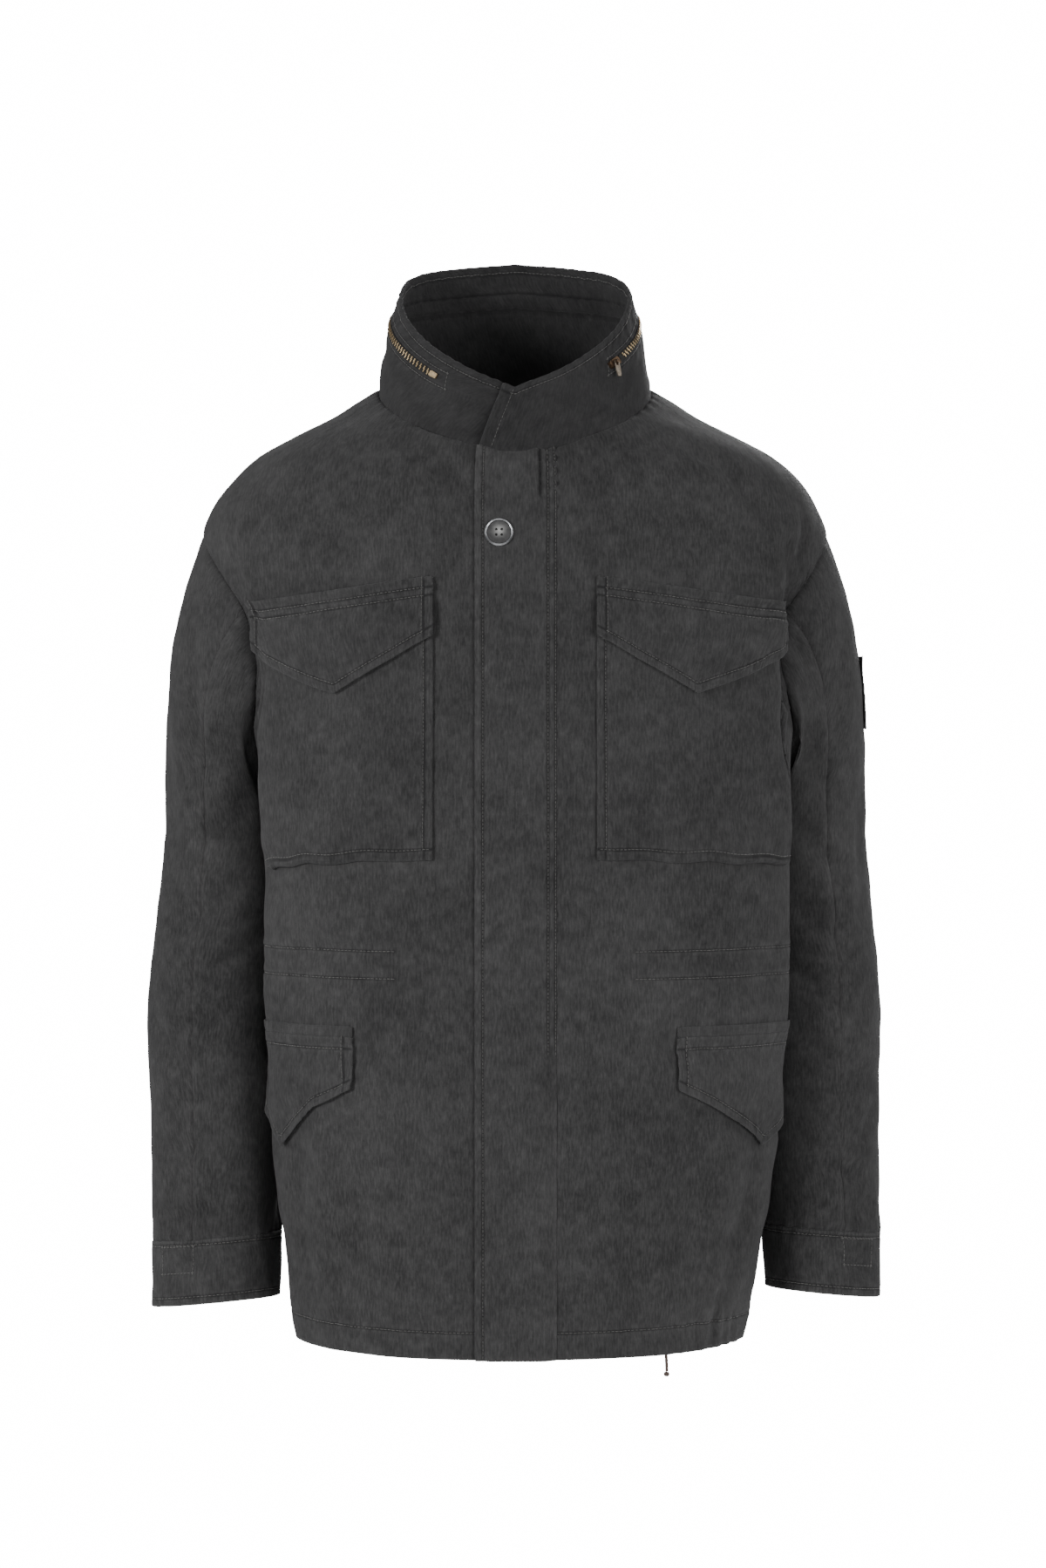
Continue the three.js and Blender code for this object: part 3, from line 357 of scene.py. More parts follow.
def seatOf(x, z):  # a place on the solids' body, with level, rise and outward directions
    side = 1 if x > 0 else -1
    turn = side * float(turnAtReach(abs(x), z, side))
    out = normalOf(coarseBody, turn, z)
    level = unit(np.cross((0, 0, 1), out))
    return coarseBody(turn, z), level, np.cross(out, level), out


def makeCord():
    p, level, rise, out = seatOf(cordValues["x"], cordValues["z"])
    inside = -cordValues["wall"] - cordValues["behind"]
    route = np.array([p + level * a + rise * up + out * (inside - inwards)
                      for a, inwards, up in cordValues["route"]])
    steps = np.linspace(0, len(route) - 1, (len(route) - 1) * cordValues["fine"] + 1)
    table = {"step": range(len(route)), "x": route[:, 0], "y": route[:, 1], "z": route[:, 2]}
    line = stack(*(curve(table, "step", key, steps) for key in "xyz"))
    run = unit(np.gradient(line, axis=0))
    side = unit(np.cross(run, level))
    other = np.cross(run, side)
    angle = np.linspace(0, 2 * math.pi, cordValues["sides"], endpoint=False)
    ring = side[:, None] * np.cos(angle)[None, :, None] + other[:, None] * np.sin(angle)[None, :, None]
    points = (line[:, None] + ring * cordValues["thick"] / 2).reshape(-1, 3)
    wide, last = cordValues["sides"], len(line) - 1
    faces = [(r * wide + c, r * wide + (c + 1) % wide, (r + 1) * wide + (c + 1) % wide, (r + 1) * wide + c)
             for r in range(last) for c in range(wide)]
    faces += [tuple(range(wide))[::-1], tuple(last * wide + c for c in range(wide))]
    mesh = bpy.data.meshes.new("drawcord")
    mesh.from_pydata((points * metres).tolist(), [], faces)
    mesh.polygons.foreach_set("use_smooth", [True] * len(faces))
    piece = linkPiece("drawcord", mesh)
    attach(piece, "root")
    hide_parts("hem_cord")
    return piece


drawcord = makeCord()

# Sleeves: sections from the upper arm to the cuff seam
sleeveSections = {
    "right": {"z": (-372, -440, -515, -586, -650, -709, -762), "x": (239, 244, 249.5, 249, 249, 249.5, 250),
              "y": (28, 27, 21, 13, 4, -5, -10), "across": (56, 58.5, 60, 58.5, 56, 54.5, 54),
              "along": (76, 73, 68, 63, 58, 51, 47)},
    "left": {"z": (-372, -440, -515, -586, -650, -703, -755), "x": (242, 248.5, 254, 253.5, 255, 257, 258),
             "y": (30, 29, 24, 17, 8, 0, -4), "across": (54, 54, 55, 54, 51.5, 50, 48.5),
             "along": (75, 72, 68, 64, 60, 56, 54)},
}
loopParts = 20
capSteps = (0, 0.1, 0.22, 0.36, 0.52, 0.7, 0.86)
capPull = 0.33
tipDirection, sideDirection, armpitDirection = (0.36, 0.93), (0.72, 0.66), (0.3, 0.95)
frontSeam, backSeam = 4, 14
cuffDropOut, cuffDropBack = 0.09, 0.1
# Creases of the sleeves: part of the loop and distance down from the upper arm's section, at both
# ends, depth and width. Part 0 is outermost, 5 in front, 10 against the body and 15 behind.
sleeveCreases = {
    "right": (
        (2, -190, 4.5, -60, 2.2, 9), (6.2, -130, 3, -30, 3, 10), (7, -60, 3.4, 20, 2.4, 9),
        (1, -120, 2.2, 40, 1.8, 10), (6.4, 30, 2.4, 90, 3.2, 11), (7.4, 80, 3.6, 128, 2.6, 9),
        (6.8, 130, 2.8, 168, 3, 10), (1.6, 150, 4, 206, 2.2, 9), (7, 196, 3.4, 226, 2.8, 9),
        (6.6, 246, 2.4, 268, 2.4, 8), (1.4, 236, 3.4, 290, 2, 8), (6, 300, 3, 322, 2.2, 7),
        (1, 300, 3.6, 336, 1.8, 7), (5.4, 346, 2.4, 366, 1.6, 6), (10, 60, 8, 190, 3, 14),
        (12, -40, 15, 60, 4, 16), (13, 90, 17, 150, 4, 14), (12, 190, 16.6, 236, 3.4, 12),
        (13, 270, 17, 310, 2.8, 10), (17.5, 40, 19, 200, 2.6, 14), (11, 250, 9, 340, 2.4, 11),
        (18.6, -150, 18, -20, 2.4, 12), (14, -120, 17, -40, 3, 14),
    ),
    "left": (
        (2, -186, 4, -70, 2, 9), (6.4, -120, 3.2, -20, 3, 10), (7, -40, 3, 40, 2.6, 9),
        (1.2, -60, 2.4, 90, 1.6, 10), (6.6, 50, 2.8, 100, 3, 10), (7.2, 100, 3.2, 150, 2.8, 9),
        (1.8, 120, 3.8, 176, 2, 9), (6.8, 160, 2.6, 196, 2.8, 9), (7, 214, 3.6, 240, 2.6, 8),
        (1.2, 220, 3.2, 262, 2.2, 8), (6.4, 262, 2.6, 290, 2.4, 8), (1.6, 296, 4, 324, 2, 7),
        (6, 320, 3, 344, 2, 7), (4.6, 350, 1.6, 368, 1.6, 6), (10, 50, 8.4, 180, 3, 14),
        (12, -50, 15, 50, 4, 16), (13, 80, 17, 140, 4, 14), (12, 180, 16.6, 224, 3.4, 12),
        (13, 256, 17, 300, 2.8, 10), (17.5, 30, 19, 190, 2.6, 14), (11, 240, 9, 330, 2.4, 11),
        (18.4, -146, 18, -24, 2.4, 12), (14, -116, 17, -36, 3, 14),
    ),
}
partArm, sleeveDeep, capLong, perStep = 18.5, 1.8, 215.0, 100


def armholeSpot(hand, part):
    around = np.mod(part, loopParts)
    half = loopParts / 2
    inFront = around <= half
    at = np.where(inFront, tipRow - around, underarmRow + around - half)
    turn = hand * np.where(inFront, rowValue("fore", at), rowValue("aft", at))
    return bodySpot(turn, rowValue("side", at))


def sleeveTable(hand):
    return sleeveSections[sideName(hand)]


def sleeveRing(hand, part, z):
    table = sleeveTable(hand)
    angle = part / loopParts * 2 * math.pi
    out = curve(table, "z", "across", z) * np.cos(angle)
    back = -curve(table, "z", "along", z) * np.sin(angle)
    drop = smooth((-z - 560) / 190) * (cuffDropOut * out + cuffDropBack * back)
    return stack(hand * (curve(table, "z", "x", z) + out), curve(table, "z", "y", z) + back, z - drop)


def plainSleeve(hand, part, step):
    part, step = asGrids(part, step)
    top = sleeveTable(hand)["z"][0]
    ring = sleeveRing(hand, part, top - (np.maximum(step, 1) - 1) * perStep)
    start = armholeSpot(hand, part)[0]
    end = sleeveRing(hand, part, np.full(part.shape, float(top)))
    angle = part / loopParts * 2 * math.pi
    side = np.abs(np.sin(angle))
    ends = np.where((np.cos(angle) > 0)[..., None], tipDirection, armpitDirection)
    leave = unit(stack(hand * mix(ends[..., 0], sideDirection[0], side), 0,
                       -mix(ends[..., 1], sideDirection[1], side)))
    reach = capPull * np.linalg.norm(end - start, axis=-1)[..., None]
    one, two = start + leave * reach, end + reach * np.array((0, 0, 1.0))
    t = np.clip(step, 0, 1)[..., None]
    cap = ((1 - t) ** 3 * start + 3 * (1 - t) ** 2 * t * one + 3 * (1 - t) * t * t * two + t ** 3 * end)
    return np.where((step >= 1)[..., None], ring, cap)


def sleeveNormal(hand, part, step):
    down = np.where(step < 0.01, 0, step - 0.01)
    across = plainSleeve(hand, part + 0.1, step) - plainSleeve(hand, part - 0.1, step)
    return unit(np.cross(across, plainSleeve(hand, part, step + 0.01) - plainSleeve(hand, part, down))) * hand


def sleeveDown(step):  # distance down from the upper arm's section
    return (step - 1) * np.where(step < 1, capLong, perStep)


def sleeveSpot(hand, part, step, lift=0.0):
    part, step = asGrids(part, step)
    n = sleeveNormal(hand, part, step)
    creases = [(a * partArm, da, b * partArm, db, deep * sleeveDeep, width)
               for a, da, b, db, deep, width in sleeveCreases[sideName(hand)]]
    around = np.mod(part, loopParts)
    depth = creaseDepth(around * partArm, sleeveDown(step), creases) * smooth(step / 0.2)
    return plainSleeve(hand, part, step) + n * (np.broadcast_to(lift, part.shape) - depth)[..., None], n


def armholeNormal(hand, part, own):  # where the cloth runs on over the seam, both share one normal
    body = armholeSpot(hand, part)[1]
    sleeve = sleeveNormal(hand, part, np.zeros(np.shape(part)))
    along = (body * sleeve).sum(-1, keepdims=True)
    return np.where(along > 0.1, unit(body + sleeve), own)


# Cloth pieces: a fine grid of outer points becomes a thin closed wall with rounded edges
def ripple(s, seed, wave):  # uneven waves along a seam, between about -1 and 1
    rng = np.random.default_rng(seed)
    total = np.zeros(np.shape(s))
    for _ in range(4):
        total += np.sin(s * 2 * math.pi / (wave * rng.uniform(0.6, 1.6)) + rng.uniform(0, 6.3))
    return total / 2.4


lineSpots, lineClear, edgeClear = (-2.7, -1.5, -0.6, 0, 0.6, 1.5, 2.7), 3.4, 0.4


def fineValues(knots, place, step, lines=()):
    # values between the knots whose places lie about a step apart, closer together at the lines
    knots = np.asarray(knots, float)
    points = place(knots)
    lengths = np.linalg.norm(np.diff(points, axis=0), axis=-1)
    out = []
    for a, b, length in zip(knots[:-1], knots[1:], lengths):
        out += list(np.linspace(a, b, max(1, int(round(length / step))), endpoint=False))
    out = np.array(out + [knots[-1]])
    low, high = min(knots[0], knots[-1]), max(knots[0], knots[-1])
    for line in lines:
        near = np.array([line - 1e-3, line + 1e-3])
        perUnit = np.linalg.norm(place(near)[1] - place(near)[0]) / 2e-3
        keep = np.abs(out - line) * perUnit > lineClear
        keep[0] = keep[-1] = True
        extra = line + np.array(lineSpots) / perUnit
        extra = extra[(extra > low + edgeClear / perUnit) & (extra < high - edgeClear / perUnit)]
        out = np.concatenate([out[keep], extra])
    out = np.unique(np.round(out, 6))
    return out if knots[-1] > knots[0] else out[::-1]


def gridLengths(p):
    across = np.zeros(p.shape[:2])
    across[:, 1:] = np.cumsum(np.linalg.norm(np.diff(p, axis=1), axis=-1), axis=1)
    up = np.zeros(p.shape[:2])
    up[1:] = np.cumsum(np.linalg.norm(np.diff(p, axis=0), axis=-1), axis=0)
    return across, up


def gridNormals(p, closed=False):
    if closed:
        wide = np.concatenate([p[:, -1:], p, p[:, :1]], axis=1)
        across = wide[:, 2:] - wide[:, :-2]
    else:
        across = np.gradient(p, axis=1)
    return unit(np.cross(across, np.gradient(p, axis=0)))


def settle(p, n, offset):
    return p + n * offset[..., None]


def onCloth(cloth, rowPlaces, columnPlaces, lift=0.0):  # points on a finished piece, in metres
    rowsOf, columnsOf = cloth["rows"], cloth["columns"]
    r, c = asGrids(rowPlaces, columnPlaces)

    def index(values, x):
        flip = values[-1] < values[0]
        i = np.interp(x, values[::-1] if flip else values, np.arange(len(values)))
        return len(values) - 1 - i if flip else i

    ri, ci = index(rowsOf, r), index(columnsOf, c)
    r0 = np.clip(np.floor(ri).astype(int), 0, len(rowsOf) - 2)
    c0 = np.clip(np.floor(ci).astype(int), 0, len(columnsOf) - 2)
    a, b = (ri - r0)[..., None], (ci - c0)[..., None]

    def read(grid):
        return mix(mix(grid[r0, c0], grid[r0, c0 + 1], b), mix(grid[r0 + 1, c0], grid[r0 + 1, c0 + 1], b), a)

    return (read(cloth["p"]) + unit(read(cloth["n"])) * lift) * metres


edgeRound, rimWear = 0.35, 0.3


def clothPiece(name, rowsOf, columnsOf, p, facing, thick, wearAndShade, closed=False):
    # the wall grows inwards, and rim points between the two faces make the edge round
    n = gridNormals(p, closed)
    n = n if (n * facing).sum() > 0 else -n
    high, wide = p.shape[:2]
    outer, inner = p.reshape(-1, 3), (p - n * thick).reshape(-1, 3)
    count = high * wide
    index = np.arange(count).reshape(high, wide)
    if closed:
        index = np.concatenate([index, index[:, :1]], axis=1)
    a, b, c, d = index[:-1, :-1], index[:-1, 1:], index[1:, 1:], index[1:, :-1]
    outerFaces = np.stack([a, b, c, d], axis=-1).reshape(-1, 4)
    innerFaces = np.stack([a, d, c, b], axis=-1).reshape(-1, 4) + count
    if closed:
        loops = [(index[0, :-1], index[1, :-1]), (index[-1, :-1][::-1], index[-2, :-1][::-1])]
    else:
        around = np.concatenate([index[0, :-1], index[:-1, -1], index[-1, :0:-1], index[:0:-1, 0]])
        within = np.concatenate([index[1, :-1], index[:-1, -2], index[-2, :0:-1], index[:0:-1, 1]])
        loops = [(around, within)]
    points, faces = [outer, inner], [outerFaces, innerFaces]
    wearAndShadeOf = [wearAndShade.ravel(), wearAndShade.ravel()]
    u, v = gridLengths(p)
    uv = [np.stack([u.ravel(), v.ravel()], -1)] * 2
    offset = 2 * count
    for around, within in loops:
        out = unit(outer[around] - outer[within])
        middle = (outer[around] + inner[around]) / 2 + out * edgeRound * thick
        points.append(middle)
        wearAndShadeOf.append(np.full(len(around), rimWear))
        uv.append(uv[0][around])
        rim = np.arange(len(around)) + offset
        offset += len(around)
        nextAround, nextRim = np.roll(around, -1), np.roll(rim, -1)
        faces.append(np.stack([around, rim, nextRim, nextAround], -1))
        faces.append(np.stack([rim, around + count, nextAround + count, nextRim], -1))
    points, faces = np.concatenate(points), np.concatenate(faces)
    corners = points[faces]
    centre = corners.mean(axis=1)
    area = np.cross(corners[:, 2] - corners[:, 0], corners[:, 3] - corners[:, 1])
    if (centre * area).sum() < 0:
        faces = faces[:, ::-1]
    mesh = bpy.data.meshes.new(name)
    mesh.vertices.add(len(points))
    mesh.vertices.foreach_set("co", (points * metres).ravel())
    mesh.loops.add(faces.size)
    mesh.loops.foreach_set("vertex_index", faces.ravel().astype(np.int32))
    mesh.polygons.add(len(faces))
    mesh.polygons.foreach_set("loop_start", np.arange(0, faces.size, 4, dtype=np.int32))
    mesh.polygons.foreach_set("use_smooth", np.ones(len(faces), dtype=bool))
    mesh.update(calc_edges=True)
    layer = mesh.uv_layers.new(name="clothUV")
    layer.data.foreach_set("uv", (np.concatenate(uv)[faces.ravel()] * metres).ravel())
    mark = mesh.attributes.new("wearAndShade", "FLOAT", "POINT")
    mark.data.foreach_set("value", np.clip(np.concatenate(wearAndShadeOf), -1, 1).astype(np.float32))
    piece = linkPiece(name, mesh)
    flatWidth, flatLength = float(u[:, -1].max()), float(v[-1].max())
    surface = np.linalg.norm(area[: len(outerFaces)], axis=1).sum() / 2
    print(f"{name}: {len(faces) * 2} triangles, "
          f"flat {flatWidth:.0f} x {flatLength:.0f} mm, {surface / 1e6:.4f} m2")
    return {"object": piece, "rows": np.asarray(rowsOf), "columns": np.asarray(columnsOf), "p": p, "n": n}


def declare(cloth, nodes, finish="body"):
    piece = cloth["object"]
    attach(piece, "root")
    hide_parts(*nodes)
    piece.data.materials.append(cloths[finish])


def lineRelief(distance, along, seed, deep=0.55, wide=1.2, pucker=0.5, reach=9, wave=11):
    # a stitched line: a narrow groove, with small puckers beside it
    groove = -deep * bell(distance, wide)
    beside = pucker * ripple(along + 0.5 * distance, seed, wave) * bell(distance, reach)
    return groove + beside


def lineWearAndShade(distance, along, seed, wave=11):
    # lighter worn cloth on the puckers beside the line, and painted shade darkening the stitched groove
    # itself
    beside = 0.34 * bell(np.abs(distance) - 2.2, 1.3) * (0.5 + 0.5 * ripple(along, seed, wave))
    return beside - bell(distance, 1.0)


def sew(offset, wearAndShade, far, along, seed, *shape, shown=1):  # adds one line's relief, and its wear with painted shade in the groove
    offset += shown * lineRelief(far, along, seed, *shape)
    wearAndShade += shown * lineWearAndShade(far, along, seed)


def sewSides(offset, wearAndShade, u, v, inset, seed, *shape):  # lines inside both sides and the low edge
    for i, far in enumerate((u - inset, u[:, -1:] - u - inset, v - inset)):
        sew(offset, wearAndShade, far, u if i == 2 else v, seed + i, *shape)


stitchLines = {"body": [], "front": [], "sleeves": [], "collar": []}
threadLift = 0.12


def addStitches(group, cloth, rowPlaces, columnPlaces):
    stitchLines[group].append(onCloth(cloth, rowPlaces, columnPlaces, threadLift))


# Finishes
def nodeGroup(name, kind, inputs, outputs):
    tree = bpy.data.node_groups.new(name, kind)
    names = {}
    for label, socketKind, value in inputs:
        socket = tree.interface.new_socket(name=label, in_out="INPUT", socket_type=f"NodeSocket{socketKind}")
        if value is not None:
            socket.default_value = value
        names[label] = socket.identifier
    for label, socketKind in outputs:
        tree.interface.new_socket(name=label, in_out="OUTPUT", socket_type=f"NodeSocket{socketKind}")
    return tree, tree.nodes.new("NodeGroupInput").outputs, tree.nodes.new("NodeGroupOutput").inputs, names


def wire(tree, kind, inputs=(), **settings):
    node = tree.nodes.new(kind)
    for key, value in settings.items():
        setattr(node, key, value)
    for key, value in dict(inputs).items():
        if hasattr(value, "is_output"):
            tree.links.new(value, node.inputs[key])
        else:
            node.inputs[key].default_value = value
    return node


def mathNode(tree, operation, a, b=0.0, clamp=False):
    return wire(tree, "ShaderNodeMath", {0: a, 1: b}, operation=operation, use_clamp=clamp).outputs[0]


def times(tree, a, b):
    return mathNode(tree, "MULTIPLY", a, b)


def plus(tree, a, b, clamp=False):
    return mathNode(tree, "ADD", a, b, clamp)


def ranged(tree, value, low, high, toLow, toHigh):
    return wire(tree, "ShaderNodeMapRange", {0: value, 1: low, 2: high, 3: toLow, 4: toHigh}).outputs[0]


def objectPlace(tree):
    return wire(tree, "ShaderNodeTexCoord").outputs["Object"]


def mapped(tree, place, key, value):
    return wire(tree, "ShaderNodeMapping", {"Vector": place, key: value}).outputs[0]


def noiseOf(tree, place, scale, detail, roughness=0.5):
    return wire(tree, "ShaderNodeTexNoise", {"Vector": place, "Scale": scale, "Detail": detail,
                                             "Roughness": roughness}).outputs[0]


def mixColours(tree, factor, a, b):
    return wire(tree, "ShaderNodeMix", {0: factor, 6: a, 7: b}, data_type="RGBA").outputs[2]


def buildTwill():  # twill weave, worn ridges, faded patches, and painted shade where Wear And Shade is below zero
    tree, given, result, _ = nodeGroup("twillCloth", "ShaderNodeTree", (
        ("Dark", "Color", (0.03, 0.03, 0.033, 1)), ("Worn", "Color", (0.09, 0.09, 0.095, 1)),
        ("Wear And Shade", "Float", 0.0), ("Rib", "Float", 900.0), ("Patches", "Float", 9.0), ("Shift", "Float", 0.0),
    ), (("Colour", "Color"), ("Height", "Float"), ("Roughness", "Float")))
    uv = wire(tree, "ShaderNodeUVMap", uv_map="clothUV").outputs[0]
    turned = mapped(tree, uv, "Rotation", (0, 0, math.radians(63)))
    rib = wire(tree, "ShaderNodeTexWave", {
        "Vector": turned, "Scale": given["Rib"], "Distortion": 1.2, "Detail": 1.0, "Detail Scale": 2.0,
    }, bands_direction="X").outputs[1]
    moved = wire(tree, "ShaderNodeVectorMath", {0: objectPlace(tree), 1: given["Shift"]},
                 operation="ADD").outputs[0]
    mottle = noiseOf(tree, moved, 75.0, 5.0, 0.7)
    slub = noiseOf(tree, mapped(tree, uv, "Scale", (640.0, 110.0, 1.0)), 1.0, 4.0, 0.65)
    faded = ranged(tree, noiseOf(tree, moved, given["Patches"], 6.0, 0.62), 0.32, 0.7, 0.0, 0.3)
    speck = ranged(tree, mottle, 0.4, 0.68, 0.0, 0.26)
    thread = ranged(tree, slub, 0.4, 0.68, 0.0, 0.36)
    # wear lightens the cloth towards the worn colour; values below zero darken it as painted shade
    worn = times(tree, given["Wear And Shade"], ranged(tree, slub, 0.3, 0.7, 0.15, 0.75))
    total = plus(tree, plus(tree, faded, speck), plus(tree, thread, worn), True)
    tree.links.new(mixColours(tree, total, given["Dark"], given["Worn"]), result[0])
    fine = noiseOf(tree, moved, 520.0, 2.0)
    tree.links.new(plus(tree, times(tree, rib, 0.5), times(tree, fine, 0.7)), result[1])
    tree.links.new(plus(tree, 0.78, times(tree, mottle, 0.2)), result[2])
    return tree


def buildScuffs():  # brushed, scratched and tarnished metal
    tree, given, result, _ = nodeGroup("scuffedMetal", "ShaderNodeTree", (
        ("Bright", "Color", (0.5, 0.5, 0.5, 1)), ("Tarnish", "Color", (0.1, 0.1, 0.1, 1)),
        ("Amount", "Float", 0.5), ("Low", "Float", 0.25), ("High", "Float", 0.5),
    ), (("Colour", "Color"), ("Roughness", "Float"), ("Height", "Float")))
    place = objectPlace(tree)
    cloud = noiseOf(tree, place, 420.0, 6.0, 0.65)
    brushed = noiseOf(tree, mapped(tree, place, "Scale", (9000.0, 700.0, 700.0)), 1.0, 3.0)
    tarnished = times(tree, ranged(tree, cloud, 0.38, 0.64, 0.0, 1.0), given["Amount"])
    tree.links.new(mixColours(tree, tarnished, given["Bright"], given["Tarnish"]), result[0])
    tree.links.new(ranged(tree, brushed, 0.3, 0.7, given["Low"], given["High"]), result[1])
    tree.links.new(plus(tree, times(tree, brushed, 0.4), cloud), result[2])
    return tree


twillCloth = buildTwill()
scuffedMetal = buildScuffs()


def newMaterial(name, **fixed):
    material = bpy.data.materials.new(name)
    material.use_nodes = True
    tree = material.node_tree
    shader = tree.nodes["Principled BSDF"]
    for key, value in fixed.items():
        shader.inputs[key.replace("_", " ")].default_value = value
    return material, tree, shader


def bumped(tree, shader, height, distance):
    bump = wire(tree, "ShaderNodeBump", {"Height": height, "Distance": distance, "Strength": 1.0})
    tree.links.new(bump.outputs[0], shader.inputs["Normal"])


def groupMaterial(made, group, values, bump):
    material, tree, shader = made
    node = wire(tree, "ShaderNodeGroup", values, node_tree=group)
    tree.links.new(node.outputs["Colour"], shader.inputs["Base Color"])
    tree.links.new(node.outputs["Roughness"], shader.inputs["Roughness"])
    bumped(tree, shader, node.outputs["Height"], bump)
    return material


def clothMaterial(name, dark, worn, shift=0.0, patches=9.0, rib=900.0):
    made = newMaterial(name, Sheen_Weight=0.06, Sheen_Roughness=0.5, Sheen_Tint=(0.86, 0.86, 0.88, 1),
                       Specular_IOR_Level=0.22)
    wearAndShade = wire(made[1], "ShaderNodeAttribute", attribute_name="wearAndShade").outputs["Fac"]
    return groupMaterial(made, twillCloth, {"Dark": dark, "Worn": worn, "Wear And Shade": wearAndShade, "Shift": shift,
                                            "Patches": patches, "Rib": rib}, 0.00012)


def metalMaterial(name, bright, tarnish, amount, low, high):
    return groupMaterial(newMaterial(name, Metallic=1.0), scuffedMetal, {
        "Bright": bright, "Tarnish": tarnish, "Amount": amount, "Low": low, "High": high}, 0.00002)


cloths = {
    "body": clothMaterial("charcoalTwill", (0.0098, 0.0097, 0.01, 1), (0.058, 0.0572, 0.0575, 1)),
    "pocket": clothMaterial("pocketTwill", (0.01, 0.0099, 0.0102, 1), (0.057, 0.0562, 0.0566, 1), 0.4),
    # the collar's twill is a darker copy of the body's twill: painted shade
    "collar": clothMaterial("collarTwillShaded", (0.0074, 0.0073, 0.0077, 1), (0.035, 0.0344, 0.0349, 1), 0.8),
    "tape": clothMaterial("zipTape", (0.007, 0.0068, 0.0066, 1), (0.024, 0.023, 0.022, 1), 1.2, 20.0, 1400.0),
}


finishValues = {
    "thread": ((0.016, 0.0155, 0.015, 1), (0.085, 0.082, 0.078, 1)),
    "cord": ((0.022, 0.012, 0.008, 1), (0.085, 0.05, 0.034, 1)),
    "buttonEdge": ((0.012, 0.012, 0.0125, 1), (0.05, 0.0495, 0.05, 1)),
    "buttonHighlight": ((0.24, 0.24, 0.235, 1), (0.42, 0.42, 0.41, 1)),
    "buttonHighlightOffset": (0.0003, 0, 0.0013), "buttonHighlightFade": 105.0, "buttonHighlightPower": 2.2,
}


def threadMaterial():
    material, tree, shader = newMaterial("sewingThread", Roughness=0.55, Sheen_Weight=0.2)
    place = objectPlace(tree)
    tree.links.new(mixColours(tree, noiseOf(tree, place, 160.0, 3.0), *finishValues["thread"]),
                   shader.inputs["Base Color"])
    bumped(tree, shader, noiseOf(tree, place, 4200.0, 2.0), 0.00005)
    return material


def cordMaterial():
    material, tree, shader = newMaterial("waxedCord", Sheen_Weight=0.15)
    turned = mapped(tree, objectPlace(tree), "Rotation", (0.6, 0.5, 0))
    braid = wire(tree, "ShaderNodeTexWave", {"Vector": turned, "Scale": 240.0, "Distortion": 2.0,
                                             "Detail": 2.0}).outputs[1]
    tree.links.new(mixColours(tree, braid, *finishValues["cord"]), shader.inputs["Base Color"])
    tree.links.new(plus(tree, 0.5, times(tree, braid, 0.25)), shader.inputs["Roughness"])
    bumped(tree, shader, braid, 0.0003)
    return material


def buttonMaterial():
    material, tree, shader = newMaterial("buttonHorn", Specular_IOR_Level=0.6)
    place = objectPlace(tree)
    cloud = noiseOf(tree, place, 260.0, 5.0)
    # painted highlight: palest just above its centre, where light falls on the dome, and dark towards the rim
    corners = np.array([spot.co[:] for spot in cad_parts["button"].data.vertices])
    highlightCentre = (corners.min(axis=0) + corners.max(axis=0)) / 2 + finishValues["buttonHighlightOffset"]
    distance = wire(tree, "ShaderNodeVectorMath", {0: place, 1: tuple(highlightCentre.tolist())},
                    operation="DISTANCE").outputs["Value"]
    inner = mathNode(tree, "SUBTRACT", 1.0, times(tree, distance, finishValues["buttonHighlightFade"]), True)
    middle = mathNode(tree, "POWER", inner, finishValues["buttonHighlightPower"])
    dark, highlightColour = (mixColours(tree, cloud, *finishValues[key]) for key in ("buttonEdge", "buttonHighlight"))
    tree.links.new(mixColours(tree, middle, dark, highlightColour), shader.inputs["Base Color"])
    tree.links.new(plus(tree, 0.24, times(tree, cloud, 0.3)), shader.inputs["Roughness"])
    bumped(tree, shader, cloud, 0.00003)
    return material


sewingThread = threadMaterial()
waxedCord = cordMaterial()
brass = metalMaterial("wornBrass", (0.72, 0.56, 0.34, 1), (0.34, 0.24, 0.13, 1), 0.6, 0.22, 0.45)
bronze = metalMaterial("darkBronze", (0.2, 0.13, 0.08, 1), (0.05, 0.036, 0.027, 1), 0.8, 0.28, 0.5)
pullMetal = metalMaterial("paleBronze", (0.42, 0.36, 0.29, 1), (0.14, 0.11, 0.085, 1), 0.6, 0.24, 0.45)
rimMetal = metalMaterial("dullNickel", (0.62, 0.63, 0.65, 1), (0.26, 0.26, 0.27, 1), 0.5, 0.2, 0.42)
drawcord.data.materials.append(waxedCord)
for name, material in (("zip_slider", bronze), ("zip_pull", pullMetal), ("zip_stop", brass),
                       ("button_rim", rimMetal), ("button", buttonMaterial()), ("hem_eyelet", bronze),
                       ("cord_knot", waxedCord)):
    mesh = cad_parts[name].data
    mesh.materials.clear()
    mesh.materials.append(material)
print("jacket: finishes made")


# Body panels
bodyValues = {
    "thick": 1.6, "step": 3.6, "backStep": 4.6, "hemRow": 1, "waistRows": (7, 8), "waistFrom": 3.6,
    "gather": {"from": 122, "to": 192, "deep": 0.8, "wave": 9.5, "top": -750},
}


def rowDistance(v, rowsOf, line):
    return v - v[np.abs(rowsOf - line).argmin()][None, :]


def columnDistance(u, columnsOf, line):
    return u - u[:, np.abs(columnsOf - line).argmin()][:, None]


